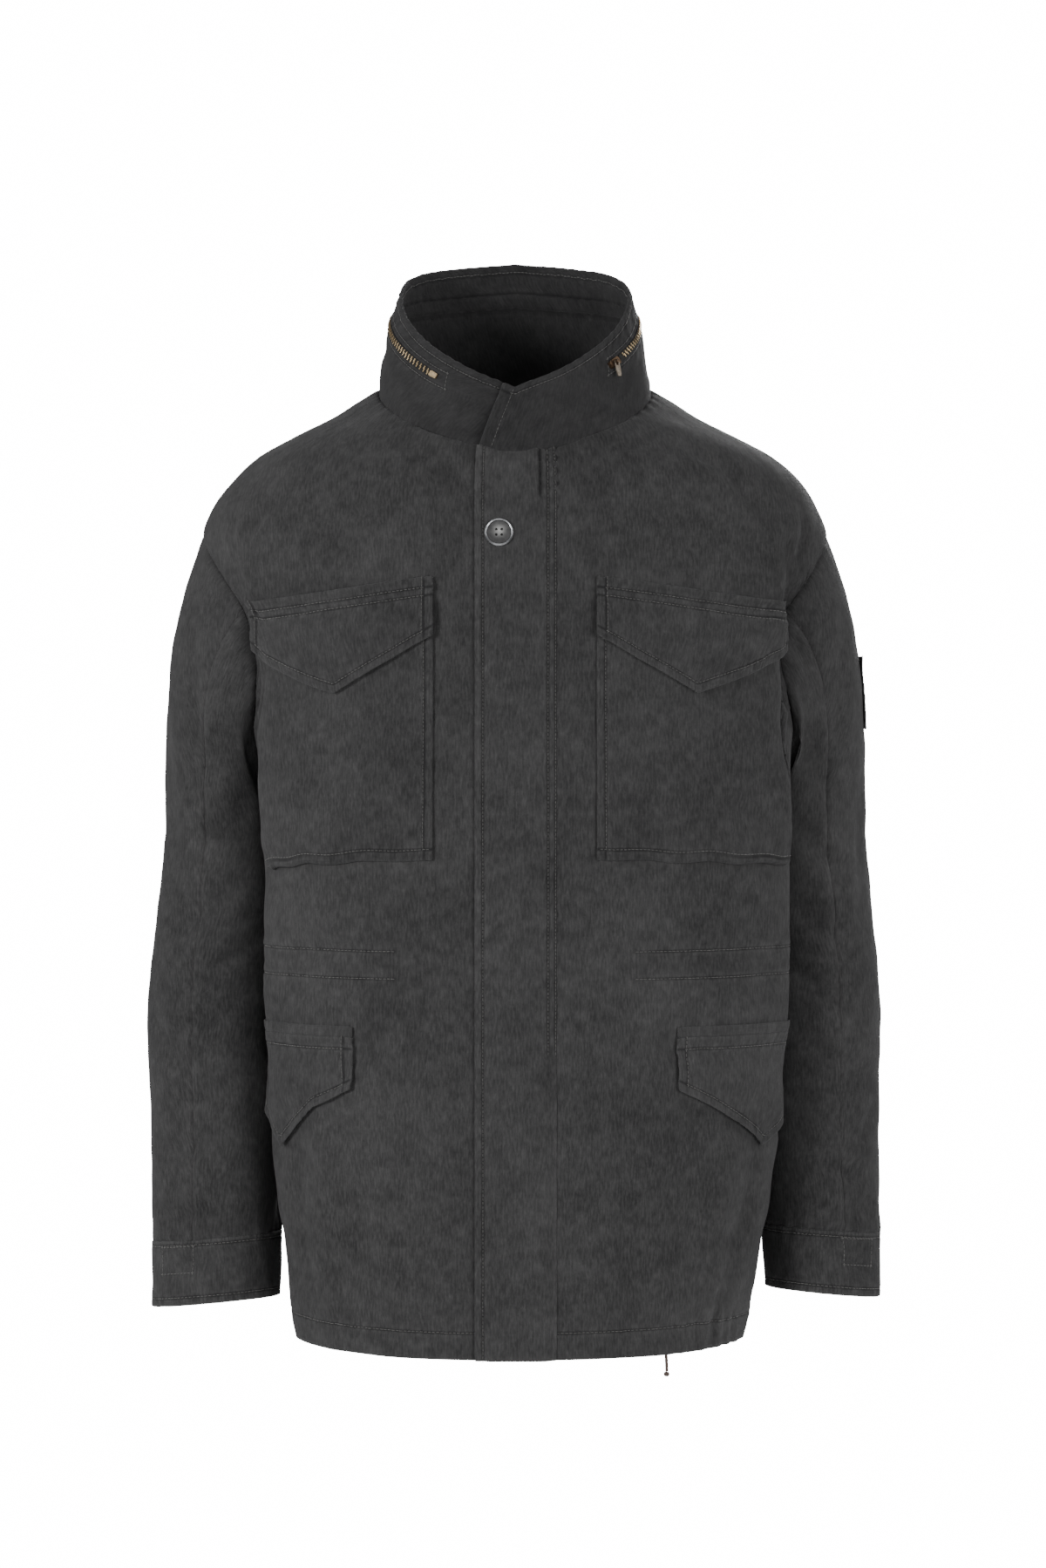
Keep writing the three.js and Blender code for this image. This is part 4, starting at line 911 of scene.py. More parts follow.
def pullIn(p, edges, gap=0.15):
    inwards = {"top": (-1, -2), "bottom": (0, 1)}
    for edge in edges:
        if edge in inwards:
            a, b = inwards[edge]
            p[a] += unit(p[b] - p[a]) * gap
        else:
            a, b = (0, 1) if edge == "first" else (-1, -2)
            p[:, a] += unit(p[:, b] - p[:, a]) * gap
    return p


def edgeWear(u, v, reach=1.6):
    far = np.minimum(np.minimum(u, u[:, -1:] - u), np.minimum(v, v[-1:] - v))
    return 0.2 * bell(far, reach)


def makeFront(hand, mark):
    values = bodyValues
    lines = (values["hemRow"], *values["waistRows"])
    columnsOf = fineValues(np.arange(13.0), lambda k: frontSpot(hand, k, 6.0)[0], values["step"])
    rowsOf = fineValues(panelRows["at"], lambda r: frontSpot(hand, 7.0, r)[0], values["step"], lines)
    columnGrid, rowGrid = np.meshgrid(columnsOf, rowsOf)
    p, n = frontSpot(hand, columnGrid, rowGrid)
    u, v = gridLengths(p)
    offset, wearAndShade = np.zeros(u.shape), 0.25 * edgeWear(u, v)
    sew(offset, wearAndShade, rowDistance(v, rowsOf, values["hemRow"]), u, 21 + hand, 0.5, 1.2, 0.55, 14, 13)
    shown = smooth((columnGrid - values["waistFrom"]) / 1.2)
    for i, line in enumerate(values["waistRows"]):
        sew(offset, wearAndShade, rowDistance(v, rowsOf, line), u, 30 + i + hand, 0.6, 1.2, 0.7, 11, 12, shown=shown)
    seam, neck = u[:, -1:] - u, v[-1:] - v
    onArmhole = smooth((rowGrid - underarmRow + 1) / 2) * smooth((tipRow + 1 - rowGrid) / 2)
    offset += 0.5 * ripple(v, 40 + hand, 14) * bell(seam, 10) * onArmhole - 1.2 * bell(seam, 2.2)
    offset += 0.6 * ripple(u, 44 + hand, 12) * bell(neck, 9) - 0.7 * bell(neck, 2.5)
    if hand > 0:  # the hem is gathered over its cord
        gather, x = values["gather"], p[..., 0]
        band = smooth((x - gather["from"]) / 10) * smooth((gather["to"] - x) / 10)
        low = smooth((gather["top"] - p[..., 2]) / 14)
        offset += gather["deep"] * band * low * np.sin(2 * math.pi * x / gather["wave"]
                                                       + 1.5 * ripple(x, 50, 40) - 0.03 * (p[..., 2] + 770))
    p = pullIn(settle(p, n, offset), ("first", "last", "top"))
    cloth = clothPiece(f"frontCloth_{mark}", rowsOf, columnsOf, p, n, values["thick"], wearAndShade)
    declare(cloth, [f"front_{mark}"])
    addStitches("body", cloth, values["hemRow"], np.linspace(1.9, 12, 170))
    for line in values["waistRows"]:
        addStitches("body", cloth, line, np.linspace(4.0, 12, 90))


def makeBack():
    lines = (bodyValues["hemRow"], *bodyValues["waistRows"])
    columnsOf = fineValues(np.linspace(0, 1, 17), lambda k: backSpot(k, 6.0)[0], bodyValues["backStep"])
    rowsOf = fineValues(panelRows["at"], lambda r: backSpot(0.4, r)[0], bodyValues["backStep"], lines)
    p, n = backSpot(*np.meshgrid(columnsOf, rowsOf))
    u, v = gridLengths(p)
    offset, wearAndShade = np.zeros(u.shape), 0.25 * edgeWear(u, v)
    for i, line in enumerate(lines):
        sew(offset, wearAndShade, rowDistance(v, rowsOf, line), u, 60 + i, 0.6, 1.3, 0.7, 12, 13)
    for seam in (u, u[:, -1:] - u):
        offset += 0.5 * ripple(v, 70, 15) * bell(seam, 10) - 1.2 * bell(seam, 2.4)
    neck = v[-1:] - v
    offset += 0.5 * ripple(u, 72, 13) * bell(neck, 9) - 0.7 * bell(neck, 2.6)
    p = pullIn(settle(p, n, offset), ("first", "last", "top"))
    cloth = clothPiece("backCloth", rowsOf, columnsOf, p, n, bodyValues["thick"], wearAndShade)
    declare(cloth, ["back"])
    for line in lines:
        addStitches("body", cloth, line, np.linspace(0.004, 0.996, 260))


for hand, mark in hands:
    makeFront(hand, mark)
makeBack()
print("jacket: body panels made")

# Sleeves and cuffs
sleeveValues = {"thick": 1.6, "cuffThick": 2.4, "step": 3.4, "seam": 0.006, "edgeStitch": 5.0,
                "cuffTop": 4.0, "cuffLow": 6.0, "box": (2.1, 4.0, 5.0, 27.0),
                "cuffStep": 1.3, "cuffColumns": 161}


def stepAt(hand, z):
    return 1 + (sleeveTable(hand)["z"][0] - z) / perStep


def makeSleeve(hand, mark):
    values = sleeveValues
    steps = [*capSteps, *(stepAt(hand, z) for z in sleeveTable(hand)["z"][:-1])][::-1]
    for name, start, end in (("top", backSeam - loopParts, frontSeam), ("under", frontSeam, backSeam)):
        onTop = name == "top"
        first, last = start + values["seam"], end - values["seam"]
        line = first + values["edgeStitch"] / partArm
        columnsOf = fineValues([first, *range(start + 1, end), last], lambda k: plainSleeve(hand, k, 2.0),
                               values["step"], (line,) if onTop else ())
        rowsOf = fineValues(steps, lambda s: plainSleeve(hand, (start + end) / 2, s), values["step"])
        partGrid, stepGrid = np.meshgrid(columnsOf, rowsOf)
        p, n = sleeveSpot(hand, partGrid, stepGrid)
        n[-1] = armholeNormal(hand, partGrid[-1], n[-1])
        u, v = gridLengths(p)
        top = v[-1:] - v
        offset = (0.6 * wander(u, v, 80 + hand, 70) + 0.35 * wander(u, v, 82 + hand, 30)) * smooth(top / 25)
        offset += 0.7 * ripple(u, 84 + hand, 15) * bell(top - 5, 9) * smooth(top / 4) - 0.5 * bell(top, 2.2)
        wearAndShade = 0.5 * edgeWear(u, v)
        for i, edge in enumerate((u, u[:, -1:] - u)):
            if onTop == (i == 1):  # the front seam is only pressed
                offset += 1.1 * bell(edge - 1, 7) - 0.6 * bell(edge, 1.3)
                wearAndShade += 0.14 * bell(edge - 2, 3)
                continue
            offset += 0.6 * ripple(v + 0.4 * edge, 86 + i + hand, 14) * bell(edge, 11) - 1.0 * bell(edge, 2)
            if onTop:
                far = columnDistance(u, columnsOf, line)
                offset -= 0.5 * bell(far, 1.2)
                wearAndShade += lineWearAndShade(far, v, 90 + i)
        offset += 0.6 * ripple(u, 92 + hand, 12) * bell(v, 10) - 0.6 * bell(v, 2)
        p = pullIn(settle(p, n, offset), ("bottom",))
        p = pullIn(p, ("top",), -0.5)  # laps into the armhole's seam
        cloth = clothPiece(f"sleeve{name}Cloth_{mark}", rowsOf, columnsOf, p, n, values["thick"], wearAndShade)
        declare(cloth, [f"sleeve_{name}_{mark}"])
        if onTop:
            addStitches("sleeves", cloth, np.linspace(rowsOf[0], rowsOf[-1] + 0.02, 220), line)


def makeCuff(hand, mark):
    values = sleeveValues
    high, low = sleeveTable(hand)["z"][-2:]
    rowsOf = fineValues([stepAt(hand, z) for z in (low, (low + high) / 2, high)],
                        lambda s: plainSleeve(hand, 0.0, s), values["cuffStep"])
    columnsOf = np.linspace(0, loopParts, values["cuffColumns"])
    partGrid, stepGrid = np.meshgrid(columnsOf[:-1], rowsOf)
    p, n = sleeveSpot(hand, partGrid, stepGrid)
    u, v = gridLengths(p)
    top = v[-1:] - v
    angle = partGrid / loopParts * 2 * math.pi
    offset = 0.5 * wander(50 * np.cos(angle), v + 50 * np.sin(angle), 100 + hand, 40)
    wearAndShade = 0.5 * bell(np.minimum(v, top), 1.6)
    for far in (top - values["cuffTop"], v - values["cuffLow"]):
        offset += 0.45 * np.sin(19 * angle + 2 * np.sin(3 * angle)) * bell(far, 7) - 0.45 * bell(far, 1.3)
        wearAndShade += lineWearAndShade(far, u, 104)
    p = pullIn(settle(p, n, offset), ("top",))
    cloth = clothPiece(f"cuffCloth_{mark}", rowsOf, columnsOf, p, n, values["cuffThick"], wearAndShade, True)
    for key in "pn":
        cloth[key] = np.concatenate([cloth[key], cloth[key][:, :1]], axis=1)
    declare(cloth, [f"cuff_{mark}"])
    for line in (rowsOf[0] - values["cuffLow"] / perStep, rowsOf[-1] + values["cuffTop"] / perStep):
        addStitches("sleeves", cloth, line, np.linspace(0, loopParts, 160))
    partA, partB, *drops = values["box"]
    a, b = (rowsOf[-1] + drop / perStep for drop in drops)
    corners = ((a, partA), (b, partA), (b, partB), (a, partB), (a, partA))
    for (rowA, columnA), (rowB, columnB) in zip(corners[:-1], corners[1:]):
        addStitches("sleeves", cloth, np.linspace(rowA, rowB, 12), np.linspace(columnA, columnB, 12))


for hand, mark in hands:
    makeSleeve(hand, mark)
    makeCuff(hand, mark)
print("jacket: sleeves and cuffs made")

# Fly
flyValues = {
    "edges": (-31.5, -16, 0, 17, 34), "thick": 1.8, "gap": 0.6, "top": 26.4, "step": 3.2, "thinned": 0.5,
    "stitches": (-25.5, 26.6, 32.6), "linesEnd": -548, "slit": 20.5, "slitFoot": -100,
    "impressionX": -13, "impressions": (-236, -341, -446),
}
layGap = 0.5


def flySpot(x, at, lift=0.0):
    x, at = asGrids(x, at)
    at = np.minimum(at, flyValues["top"])
    turns = [turnAtReach(np.abs(x), rowValue("front", at), hand) for hand in (-1, 1)]
    right, left = (bodySpot(hand * turn, frontHeight(turn, at)) for hand, turn in zip((-1, 1), turns))
    p, n = (np.where((x < 0)[..., None], a, b) for a, b in zip(right, left))
    return p + n * np.broadcast_to(lift, x.shape)[..., None], n


def makeFly():
    values = flyValues
    columnsOf = fineValues(values["edges"], lambda x: flySpot(x, 10.0)[0], values["step"],
                           (*values["stitches"], values["slit"]))
    rowsOf = fineValues([*range(27), values["top"]], lambda r: flySpot(0.0, r)[0], values["step"])
    xGrid, rowGrid = np.meshgrid(columnsOf, rowsOf)
    away = mix(values["gap"] + values["thick"], values["thinned"], smooth((xGrid - 23) / 9))
    p, n = flySpot(xGrid, rowGrid, away)
    u, v = gridLengths(p)
    z = p[..., 2]
    high, slit = smooth((z + 125) / 50), smooth((z - values["slitFoot"]) / 10)
    lined = smooth((z - values["linesEnd"]) / 12)
    offset = 0.35 * wander(u, v, 110, 45) + 0.35
    wearAndShade = 0.8 * edgeWear(u, v)
    for i, line in enumerate(values["stitches"]):
        sew(offset, wearAndShade, xGrid - line, v, 112 + i, 0.5, 1.2, 0.5 + 0.9 * high, 7 + 4 * high, 10,
            shown=1 if line < 0 else lined)
    offset += 1.1 * high * ripple(z * 0.8 + xGrid * 0.35, 118, 13) * bell(xGrid + 20, 13)
    for place in values["impressions"]:  # the buttons under the fly press through
        far = np.hypot(xGrid - values["impressionX"], z - place)
        offset += 0.9 * bell(far - 9, 3.2) * (far < 26) + 0.5 * smooth((10 - far) / 4)
        wearAndShade += 0.22 * bell(far - 10, 2.4) - 0.12 * smooth((9 - far) / 4)
    offset -= 1.5 * slit * bell(xGrid - values["slit"], 1.1)
    # the slit is also darkened: painted shade in its groove
    wearAndShade -= 1.2 * slit * bell(xGrid - values["slit"], 1.3)
    p = settle(p, n, np.maximum(offset, -1.6 * slit - 0.15))
    cloth = clothPiece("flyCloth", rowsOf, columnsOf, p, n, values["thick"], wearAndShade)
    declare(cloth, ["fly"], "pocket")
    for x in values["stitches"]:
        start = 0 if x < 0 else float(np.interp(values["linesEnd"] + 6, z[:, 0], rowsOf))
        addStitches("front", cloth, np.linspace(start, values["top"] - 0.3, 420), x)


makeFly()

# Chest pockets and flaps
pocketValues = {
    "columns": (3, 4, 5, 6, 7, 8, 8.85, 9), "rows": (10, 10.12, 11, 12, 13, 14, 15, 16, 17),
    "edgeColumns": (8.88, 8.91, 8.94, 8.97), "edgeRows": (10.03, 10.06, 10.09), "sag": {"R": 0.17, "L": 0.05},
    "thick": 1.6, "base": 1.9, "upper": 2.6, "lower": 6, "step": 2.0, "stitch": 6.0, "lowStitch": 9.0,
}
flapValues = {
    "columns": (3, 4, 5, 5.5, 6, 7, 8, 9), "top": 18.35, "thick": 2, "gap": 0.8, "flare": 1.6,
    "drops": ((3, 47), (5.5, 82), (9, 38)), "step": 1.6, "edgeStitch": 7.0, "bandStitch": 8.5, "gather": 15.5,
}
hipValues = {
    "columns": (5, 6, 7, 8, 8.25, 9, 10, 11, 12), "top": -531, "thick": 2, "flare": 2,
    "drops": ((5, 41), (8.25, 91), (12, 41)), "step": 1.7, "weltTop": -522.6, "weltLow": -530.4,
    "weltThick": 1.6, "weltStep": 3.2, "weltColumns": (5, 6, 7, 8, 9, 10, 11, 12), "bandStitch": 9.0,
}


def pocketRise(place, at):
    first, last = pocketValues["columns"][0], pocketValues["columns"][-1]
    lowRow, highRow = pocketValues["rows"][0], pocketValues["rows"][-1]
    outwards = np.clip((place - first) / (last - first), 0, 1)
    down = np.clip((highRow - at) / (highRow - lowRow), 0, 1)
    return outwards ** 1.2 * mix(pocketValues["upper"], pocketValues["lower"], down) + 0.8 * down ** 2


def makeChestPocket(hand, mark):
    values = pocketValues
    columns, rows_ = values["columns"], values["rows"]
    columnsOf = fineValues(columns, lambda k: frontSpot(hand, k, 13.0)[0], values["step"])
    rowsOf = fineValues(rows_, lambda r: frontSpot(hand, 6.0, r)[0], values["step"])
    columnsOf = np.unique([*columnsOf, *values["edgeColumns"]])
    rowsOf = np.unique([*rowsOf, *values["edgeRows"]])
    columnGrid, rowGrid = np.meshgrid(columnsOf, rowsOf)
    outwards = (columnGrid - columns[0]) / (columns[-1] - columns[0])
    lower = np.clip((rows_[-1] - rowGrid) / (rows_[-1] - rows_[0]), 0, 1)
    wave = 0.035 * np.sin(outwards * 21 + hand) * outwards * (1 - outwards) * 4
    sag = (values["sag"][mark] * outwards ** 2.5 + wave) * lower ** 4
    full = layGap + values["thick"] + pocketRise(columnGrid, rowGrid)
    edge = np.minimum((columns[-1] - columnGrid) / (columns[-1] - columns[-2]),
                      (rowGrid - rows_[0]) / (rows_[1] - rows_[0]))
    share = np.sin(np.clip(edge, 0, 1) * math.pi / 2)
    p, n = frontSpot(hand, columnGrid, rowGrid - sag, mix(values["base"], full, share))
    u, v = gridLengths(p)
    offset = 0.7 * wander(u, v, 130 + hand, 48) + 0.3 * wander(u, v, 132 + hand, 22)
    offset -= 1.6 * creaseDepth(u, v, pocketCreases[sideName(hand)])
    wearAndShade = 0.8 * edgeWear(u, v, 2.2)
    sew(offset, wearAndShade, u - values["stitch"], v, 134 + hand, 0.45, 1.2, 0.5, 9, 12)
    sew(offset, wearAndShade, v - values["lowStitch"], u, 136 + hand, 0.45, 1.3, 0.6, 10, 13)
    p = settle(p, n, np.maximum(offset, 0.85 * (values["base"] - full)) * share)
    cloth = clothPiece(f"chestPocketCloth_{mark}", rowsOf, columnsOf, p, n, values["thick"], wearAndShade)
    declare(cloth, [f"chest_pocket_{mark}"], "pocket")
    inset = values["stitch"] * (columnsOf[-1] - columnsOf[0]) / float(u[len(rowsOf) // 2, -1])
    addStitches("front", cloth, np.linspace(10.3, 17, 90), columnsOf[0] + inset)
    lowRow = float(np.interp(values["lowStitch"], v[:, 10], rowsOf))
    addStitches("front", cloth, lowRow, np.linspace(3.1, 8.8, 80))


# Creases of the pocket bags: distances across and up, in millimetres
pocketCreases = {
    "right": ((20, 30, 90, 24, 1.4, 6), (60, 70, 130, 96, 1.8, 8), (30, 110, 100, 90, 1.2, 8),
              (110, 20, 146, 60, 1.8, 8), (16, 60, 40, 140, 1.2, 8), (90, 130, 140, 150, 1.5, 8),
              (60, 12, 78, 44, 1.0, 5), (120, 90, 152, 70, 1.4, 7)),
    "left": ((30, 28, 110, 34, 1.5, 6), (50, 90, 120, 74, 1.6, 8), (20, 120, 90, 136, 1.2, 8),
             (108, 60, 150, 24, 1.8, 8), (14, 40, 30, 130, 1.3, 8), (80, 150, 136, 128, 1.4, 8),
             (86, 14, 96, 50, 1.0, 5), (124, 110, 150, 130, 1.2, 7)),
}


def rowAtHeight(hand, place, z):
    return halve(lambda row: frontHeight(columnTurn(place, row, hand), row) < z, np.zeros(np.shape(place)),
                 np.full(np.shape(place), float(neckRow)), 24)


def flapCloth(hand, mark, name, node, values, topOf, liftOf, seeds, bands):
    at, drop = zip(*values["drops"])
    columnsOf = fineValues(values["columns"], lambda k: frontSpot(hand, k, rowAtHeight(hand, k, topOf(k)))[0],
                           values["step"])
    levelsOf = np.linspace(0, 1, int(max(drop) / values["step"]) + 1)
    columnGrid, level = np.meshgrid(columnsOf, levelsOf)
    down = 1 - level
    rowGrid = rowAtHeight(hand, columnGrid, topOf(columnGrid) - np.interp(columnGrid, at, drop) * down)
    p, n = frontSpot(hand, columnGrid, rowGrid, liftOf(columnGrid, rowGrid, down))
    u, v = gridLengths(p)
    top, sides = v[-1:] - v, np.minimum(u, u[:, -1:] - u)
    offset = (0.55 * wander(u, v, seeds, 40) + 0.25 * wander(u, v, seeds + 1, 18)) * smooth(top / 14)
    offset += 0.5 * smooth(down * 1.4) * bell(sides, 12) * ripple(v, seeds + 2, 30)
    wearAndShade = 1.1 * edgeWear(u, v, 2.0)
    inset = flapValues["edgeStitch"]
    sewSides(offset, wearAndShade, u, v, inset, seeds + 3, 0.45, 1.2, 0.4, 7, 9)
    for i, (far, pucker) in enumerate(bands):
        sew(offset, wearAndShade, top - far, u, seeds + 7 + i, 0.5, 1.2, pucker, 6, 7)
    offset += 0.7 * bell(np.minimum(sides, v), 3.2)
    p = settle(p, n, np.maximum(offset, -0.45))
    cloth = clothPiece(f"{name}_{mark}", levelsOf, columnsOf, p, n, values["thick"], wearAndShade)
    declare(cloth, [f"{node}_{mark}"], "pocket")
    shift = inset * (columnsOf[-1] - columnsOf[0]) / float(u[-1, -1])
    first, last = columnsOf[0] + shift, columnsOf[-1] - shift
    path = np.linspace(first, last, 90)
    tall = np.interp(path, columnsOf, v[-1])
    addStitches("front", cloth, inset / tall, path)
    for side in (first, last):
        addStitches("front", cloth, np.linspace(inset / np.interp(side, columnsOf, v[-1]), 1, 30), side)
    for far, _ in bands:
        addStitches("front", cloth, 1 - far / tall, path)


def makeChestFlap(hand, mark):
    topRow = flapValues["top"]

    def topOf(place):
        return frontHeight(columnTurn(place, topRow, hand), np.full(np.shape(place), topRow))

    def liftOf(place, at, down):
        seated = layGap + flapValues["thick"]
        over = seated + pocketValues["thick"] + pocketRise(place, at) + flapValues["gap"]
        onPocket = smooth((topRow - at) / (topRow - pocketValues["rows"][-1] - 0.15))
        return mix(seated, over + flapValues["flare"] * down, onPocket)

    flapCloth(hand, mark, "chestFlapCloth", "chest_flap", flapValues, topOf, liftOf, 150 + 20 * hand,
              ((flapValues["bandStitch"], 0.5), (flapValues["gather"], 0.6)))


def makeHipFlap(hand, mark):
    values = hipValues
    flapCloth(hand, mark, "hipFlapCloth", "hip_flap", values,
              lambda place: np.full(np.shape(place), float(values["top"])),
              lambda place, at, down: layGap + values["thick"] + values["flare"] * down,
              200 + 20 * hand, ((values["bandStitch"], 0.6),))
    columnsOf = fineValues(values["weltColumns"], lambda k: frontSpot(hand, k, 6.0)[0], values["weltStep"])
    levelsOf = np.linspace(0, 1, 6)
    columnGrid, level = np.meshgrid(columnsOf, levelsOf)
    rowGrid = rowAtHeight(hand, columnGrid, mix(values["weltLow"], values["weltTop"], level))
    p, n = frontSpot(hand, columnGrid, rowGrid, layGap + values["weltThick"])
    u, v = gridLengths(p)
    offset = 0.35 * np.sin(level * math.pi) + 0.25 * ripple(u, 230 + hand, 12)
    p = settle(p, n, np.maximum(offset, -0.3))
    cloth = clothPiece(f"hipWeltCloth_{mark}", levelsOf, columnsOf, p, n, values["weltThick"],
                       0.6 * edgeWear(u, v))
    declare(cloth, [f"hip_welt_{mark}"], "pocket")


for hand, mark in hands:
    makeChestPocket(hand, mark)
    makeChestFlap(hand, mark)
    makeHipFlap(hand, mark)

# Small pocket on the left upper sleeve
patchValues = {"top": -224, "low": -284, "from": -1.6, "to": 1.2, "thick": 1.2, "step": 1.5, "stitch": 4.0,
               "corner": 1.1}


def makeSleevePocket():
    values = patchValues
    inset = values["stitch"]
    columnsOf = fineValues(np.linspace(values["from"], values["to"], 6), lambda k: plainSleeve(1, k, 0.7),
                           values["step"])
    levelsOf = np.linspace(0, 1, 42)
    partGrid, level = np.meshgrid(columnsOf, levelsOf)
    z = mix(values["low"], values["top"], level)
    step = halve(lambda s: plainSleeve(1, partGrid, s)[..., 2] > z, np.zeros(z.shape), np.ones(z.shape), 20)
    p, n = sleeveSpot(1, partGrid, step, layGap + values["thick"])
    u, v = gridLengths(p)
    offset = 0.1 + 0.2 * wander(u, v, 240, 26) + values["corner"] * bell(v[-1:] - v, 7)
    wearAndShade = 0.9 * edgeWear(u, v)
    sewSides(offset, wearAndShade, u, v, inset, 242, 0.4, 1.1, 0.3, 6, 8)
    p = settle(p, n, np.maximum(offset, -0.3))
    cloth = clothPiece("sleevePocketCloth_L", levelsOf, columnsOf, p, n, values["thick"], wearAndShade)
    declare(cloth, ["sleeve_pocket_L"], "pocket")
    shift = inset * (columnsOf[-1] - columnsOf[0]) / float(u[0, -1])
    sides, lift = (columnsOf[0] + shift, columnsOf[-1] - shift), inset / float(v[-1, 0])
    for side in sides:
        addStitches("sleeves", cloth, np.linspace(lift, 1, 24), side)
    addStitches("sleeves", cloth, lift, np.linspace(*sides, 24))


makeSleevePocket()
print("jacket: fly, pockets and flaps made")

# Collar, with a zip round it
collarValues = {
    "across": 96, "front": 97, "back": 80, "swell": 3, "underEnd": 15, "overFoot": -25, "overTop": -8,
    "lapLift": 3.9, "lapFrom": 12, "lapTo": 42, "columns": 36, "seat": 0.7, "thick": 3, "step": 2.2,
    "topStitch": 6.3, "zipRows": (0.66, 0.74), "zipColumns": (6, 31.25), "surround": 4.2,
    "rows": (-0.05, 0, 0.33, 0.66, 0.74, 0.88, 1), "rowStep": 1.7, "creased": 1.5, "ends": (0.45, 35.55),
    "columnLong": 15.5, "tall": 90.0,
}
collarEdge = {"turn": (0, 24, 48, 72, 90, 120, 150, 180), "z": (-6, 11, 33, 59, 79, 98, 107, 112)}
# Creases of the collar: column and share up at both ends, depth and width in millimetres
collarCreases = (
    (1.5, 0.3, 4.5, 0.55, 1.6, 5), (2.2, 0.12, 6.5, 0.3, 1.8, 6), (4, 0.6, 8, 0.42, 1.4, 6),
    (30.5, 0.2, 33.6, 0.42, 1.8, 6), (31.5, 0.05, 35, 0.16, 1.6, 5), (29, 0.34, 32.4, 0.56, 1.5, 6),
    (33, 0.5, 35.6, 0.36, 1.2, 5), (9, 0.15, 11, 0.5, 1.4, 8), (25, 0.2, 27.4, 0.5, 1.4, 8),
    (14, 0.2, 17, 0.36, 1.5, 9), (19, 0.3, 23, 0.22, 1.5, 9), (1, 0.82, 3.4, 0.7, 1.0, 4),
)


def planTurn(p):
    return np.degrees(np.arctan2(p[..., 0], -p[..., 1]))


def neckBase(turn):
    return coarseBody(turn, neckHeight(turn))


def neckAt(around):
    hand = np.where(around < 0, -1, 1)
    turn = halve(lambda middle: planTurn(neckBase(hand * middle)) * hand < np.abs(around),
                 np.zeros(around.shape), np.full(around.shape, 180.0), 26)
    return neckBase(hand * turn)


def collarPoint(place, share):
    v = collarValues
    place, share = asGrids(place, share)
    over = np.degrees(np.arcsin(mix(v["overFoot"], v["overTop"], share) / v["front"]))
    under = 360 + math.degrees(math.asin(v["underEnd"] / v["front"]))
    around = mix(over, under, place / v["columns"])
    turn = np.where(around > 180, around - 360, around)
    a = np.radians(turn)
    depth = np.where(np.abs(turn) < 90, v["front"], v["back"])
    top = stack(v["across"] * np.sin(a), -depth * np.cos(a), curve(collarEdge, "turn", "z", np.abs(turn)))
    out = stack(np.sin(a), -np.cos(a), 0)
    lap = v["lapLift"] * (1 - smooth((around - v["lapFrom"]) / (v["lapTo"] - v["lapFrom"])))
    base = neckAt(turn) + np.array((0, 0, v["seat"]))
    swell = v["swell"] * np.sin(math.pi * share)
    return mix(base, top, share[..., None]) + out * (swell + lap)[..., None]


def makeCollar():
    values = collarValues
    columnsOf = fineValues(np.arange(values["columns"] + 1), lambda k: collarPoint(k, 0.7), values["step"])
    rowsOf = fineValues(values["rows"], lambda s: collarPoint(18.0, s), values["rowStep"])
    columnGrid, shareGrid = np.meshgrid(columnsOf, rowsOf)
    p = collarPoint(columnGrid, shareGrid)
    n = gridNormals(p)
    u, v = gridLengths(p)
    tall, ends = v[-1:], np.minimum(u, u[:, -1:] - u)
    top = tall - v
    offset = 0.6 * wander(u, v, 250, 60) + 0.3 * wander(u, v, 251, 26)
    offset *= smooth((shareGrid - 0.01) * 9) * smooth(ends / 12)
    long, rise = values["columnLong"], values["tall"]
    creases = [(a * long, sa * rise, b * long, sb * rise, deep, width)
               for a, sa, b, sb, deep, width in collarCreases]
    offset -= values["creased"] * creaseDepth(columnGrid * long, shareGrid * rise, creases)
    wearAndShade = 0.9 * edgeWear(u, v, 2.4)
    sew(offset, wearAndShade, top - values["topStitch"], u, 252, 0.5, 1.2, 0.45, 6, 9)
    offset += 0.5 * bell(top - 2.6, 2.4)
    (low, high), (first, last) = values["zipRows"], values["zipColumns"]
    middle, halfBand = (low + high) / 2, (high - low) / 2 * tall
    zipFar = np.abs((shareGrid - middle) * tall)
    near = smooth((columnGrid - first + 0.8) / 0.5) * smooth((last + 0.8 - columnGrid) / 0.5)
    offset += near * 0.9 * bell(zipFar - halfBand - 1.4, 1.5)
    surround = zipFar - halfBand - values["surround"]
    offset += near * lineRelief(surround, u, 254, 0.45, 1.1, 0.4, 5, 8)
    offset *= np.where(zipFar < halfBand + 0.4, 1 - near * 0.85, 1)
    wearAndShade += near * lineWearAndShade(surround, u, 254)
    offset += 0.5 * bell(ends, 2.6) - 0.4 * bell(ends - 7, 1.2)
    p = pullIn(settle(p, n, offset), ("bottom",))
    cloth = clothPiece("collarCloth", rowsOf, columnsOf, p, n, values["thick"], wearAndShade)
    declare(cloth, ["collar"], "collar")
    path = np.linspace(*values["ends"], 330)
    line = 1 - values["topStitch"] / np.interp(path, columnsOf, v[-1])
    for lift in (threadLift, -values["thick"] - threadLift):  # seen on both faces
        stitchLines["collar"].append(onCloth(cloth, line, path, lift))
    along = np.linspace(first - 0.7, last + 0.7, 220)
    tallHere = np.interp(along, columnsOf, v[-1])
    away = ((high - low) / 2 * tallHere + values["surround"]) / tallHere
    for side in (-1, 1):
        addStitches("collar", cloth, middle + side * away, along)
    for end in (0, -1):
        addStitches("collar", cloth, np.linspace(middle - away[end], middle + away[end], 12), along[end])
    for end in values["ends"]:
        addStitches("collar", cloth, np.linspace(0.03, 1 - values["topStitch"] / rise, 30), end)


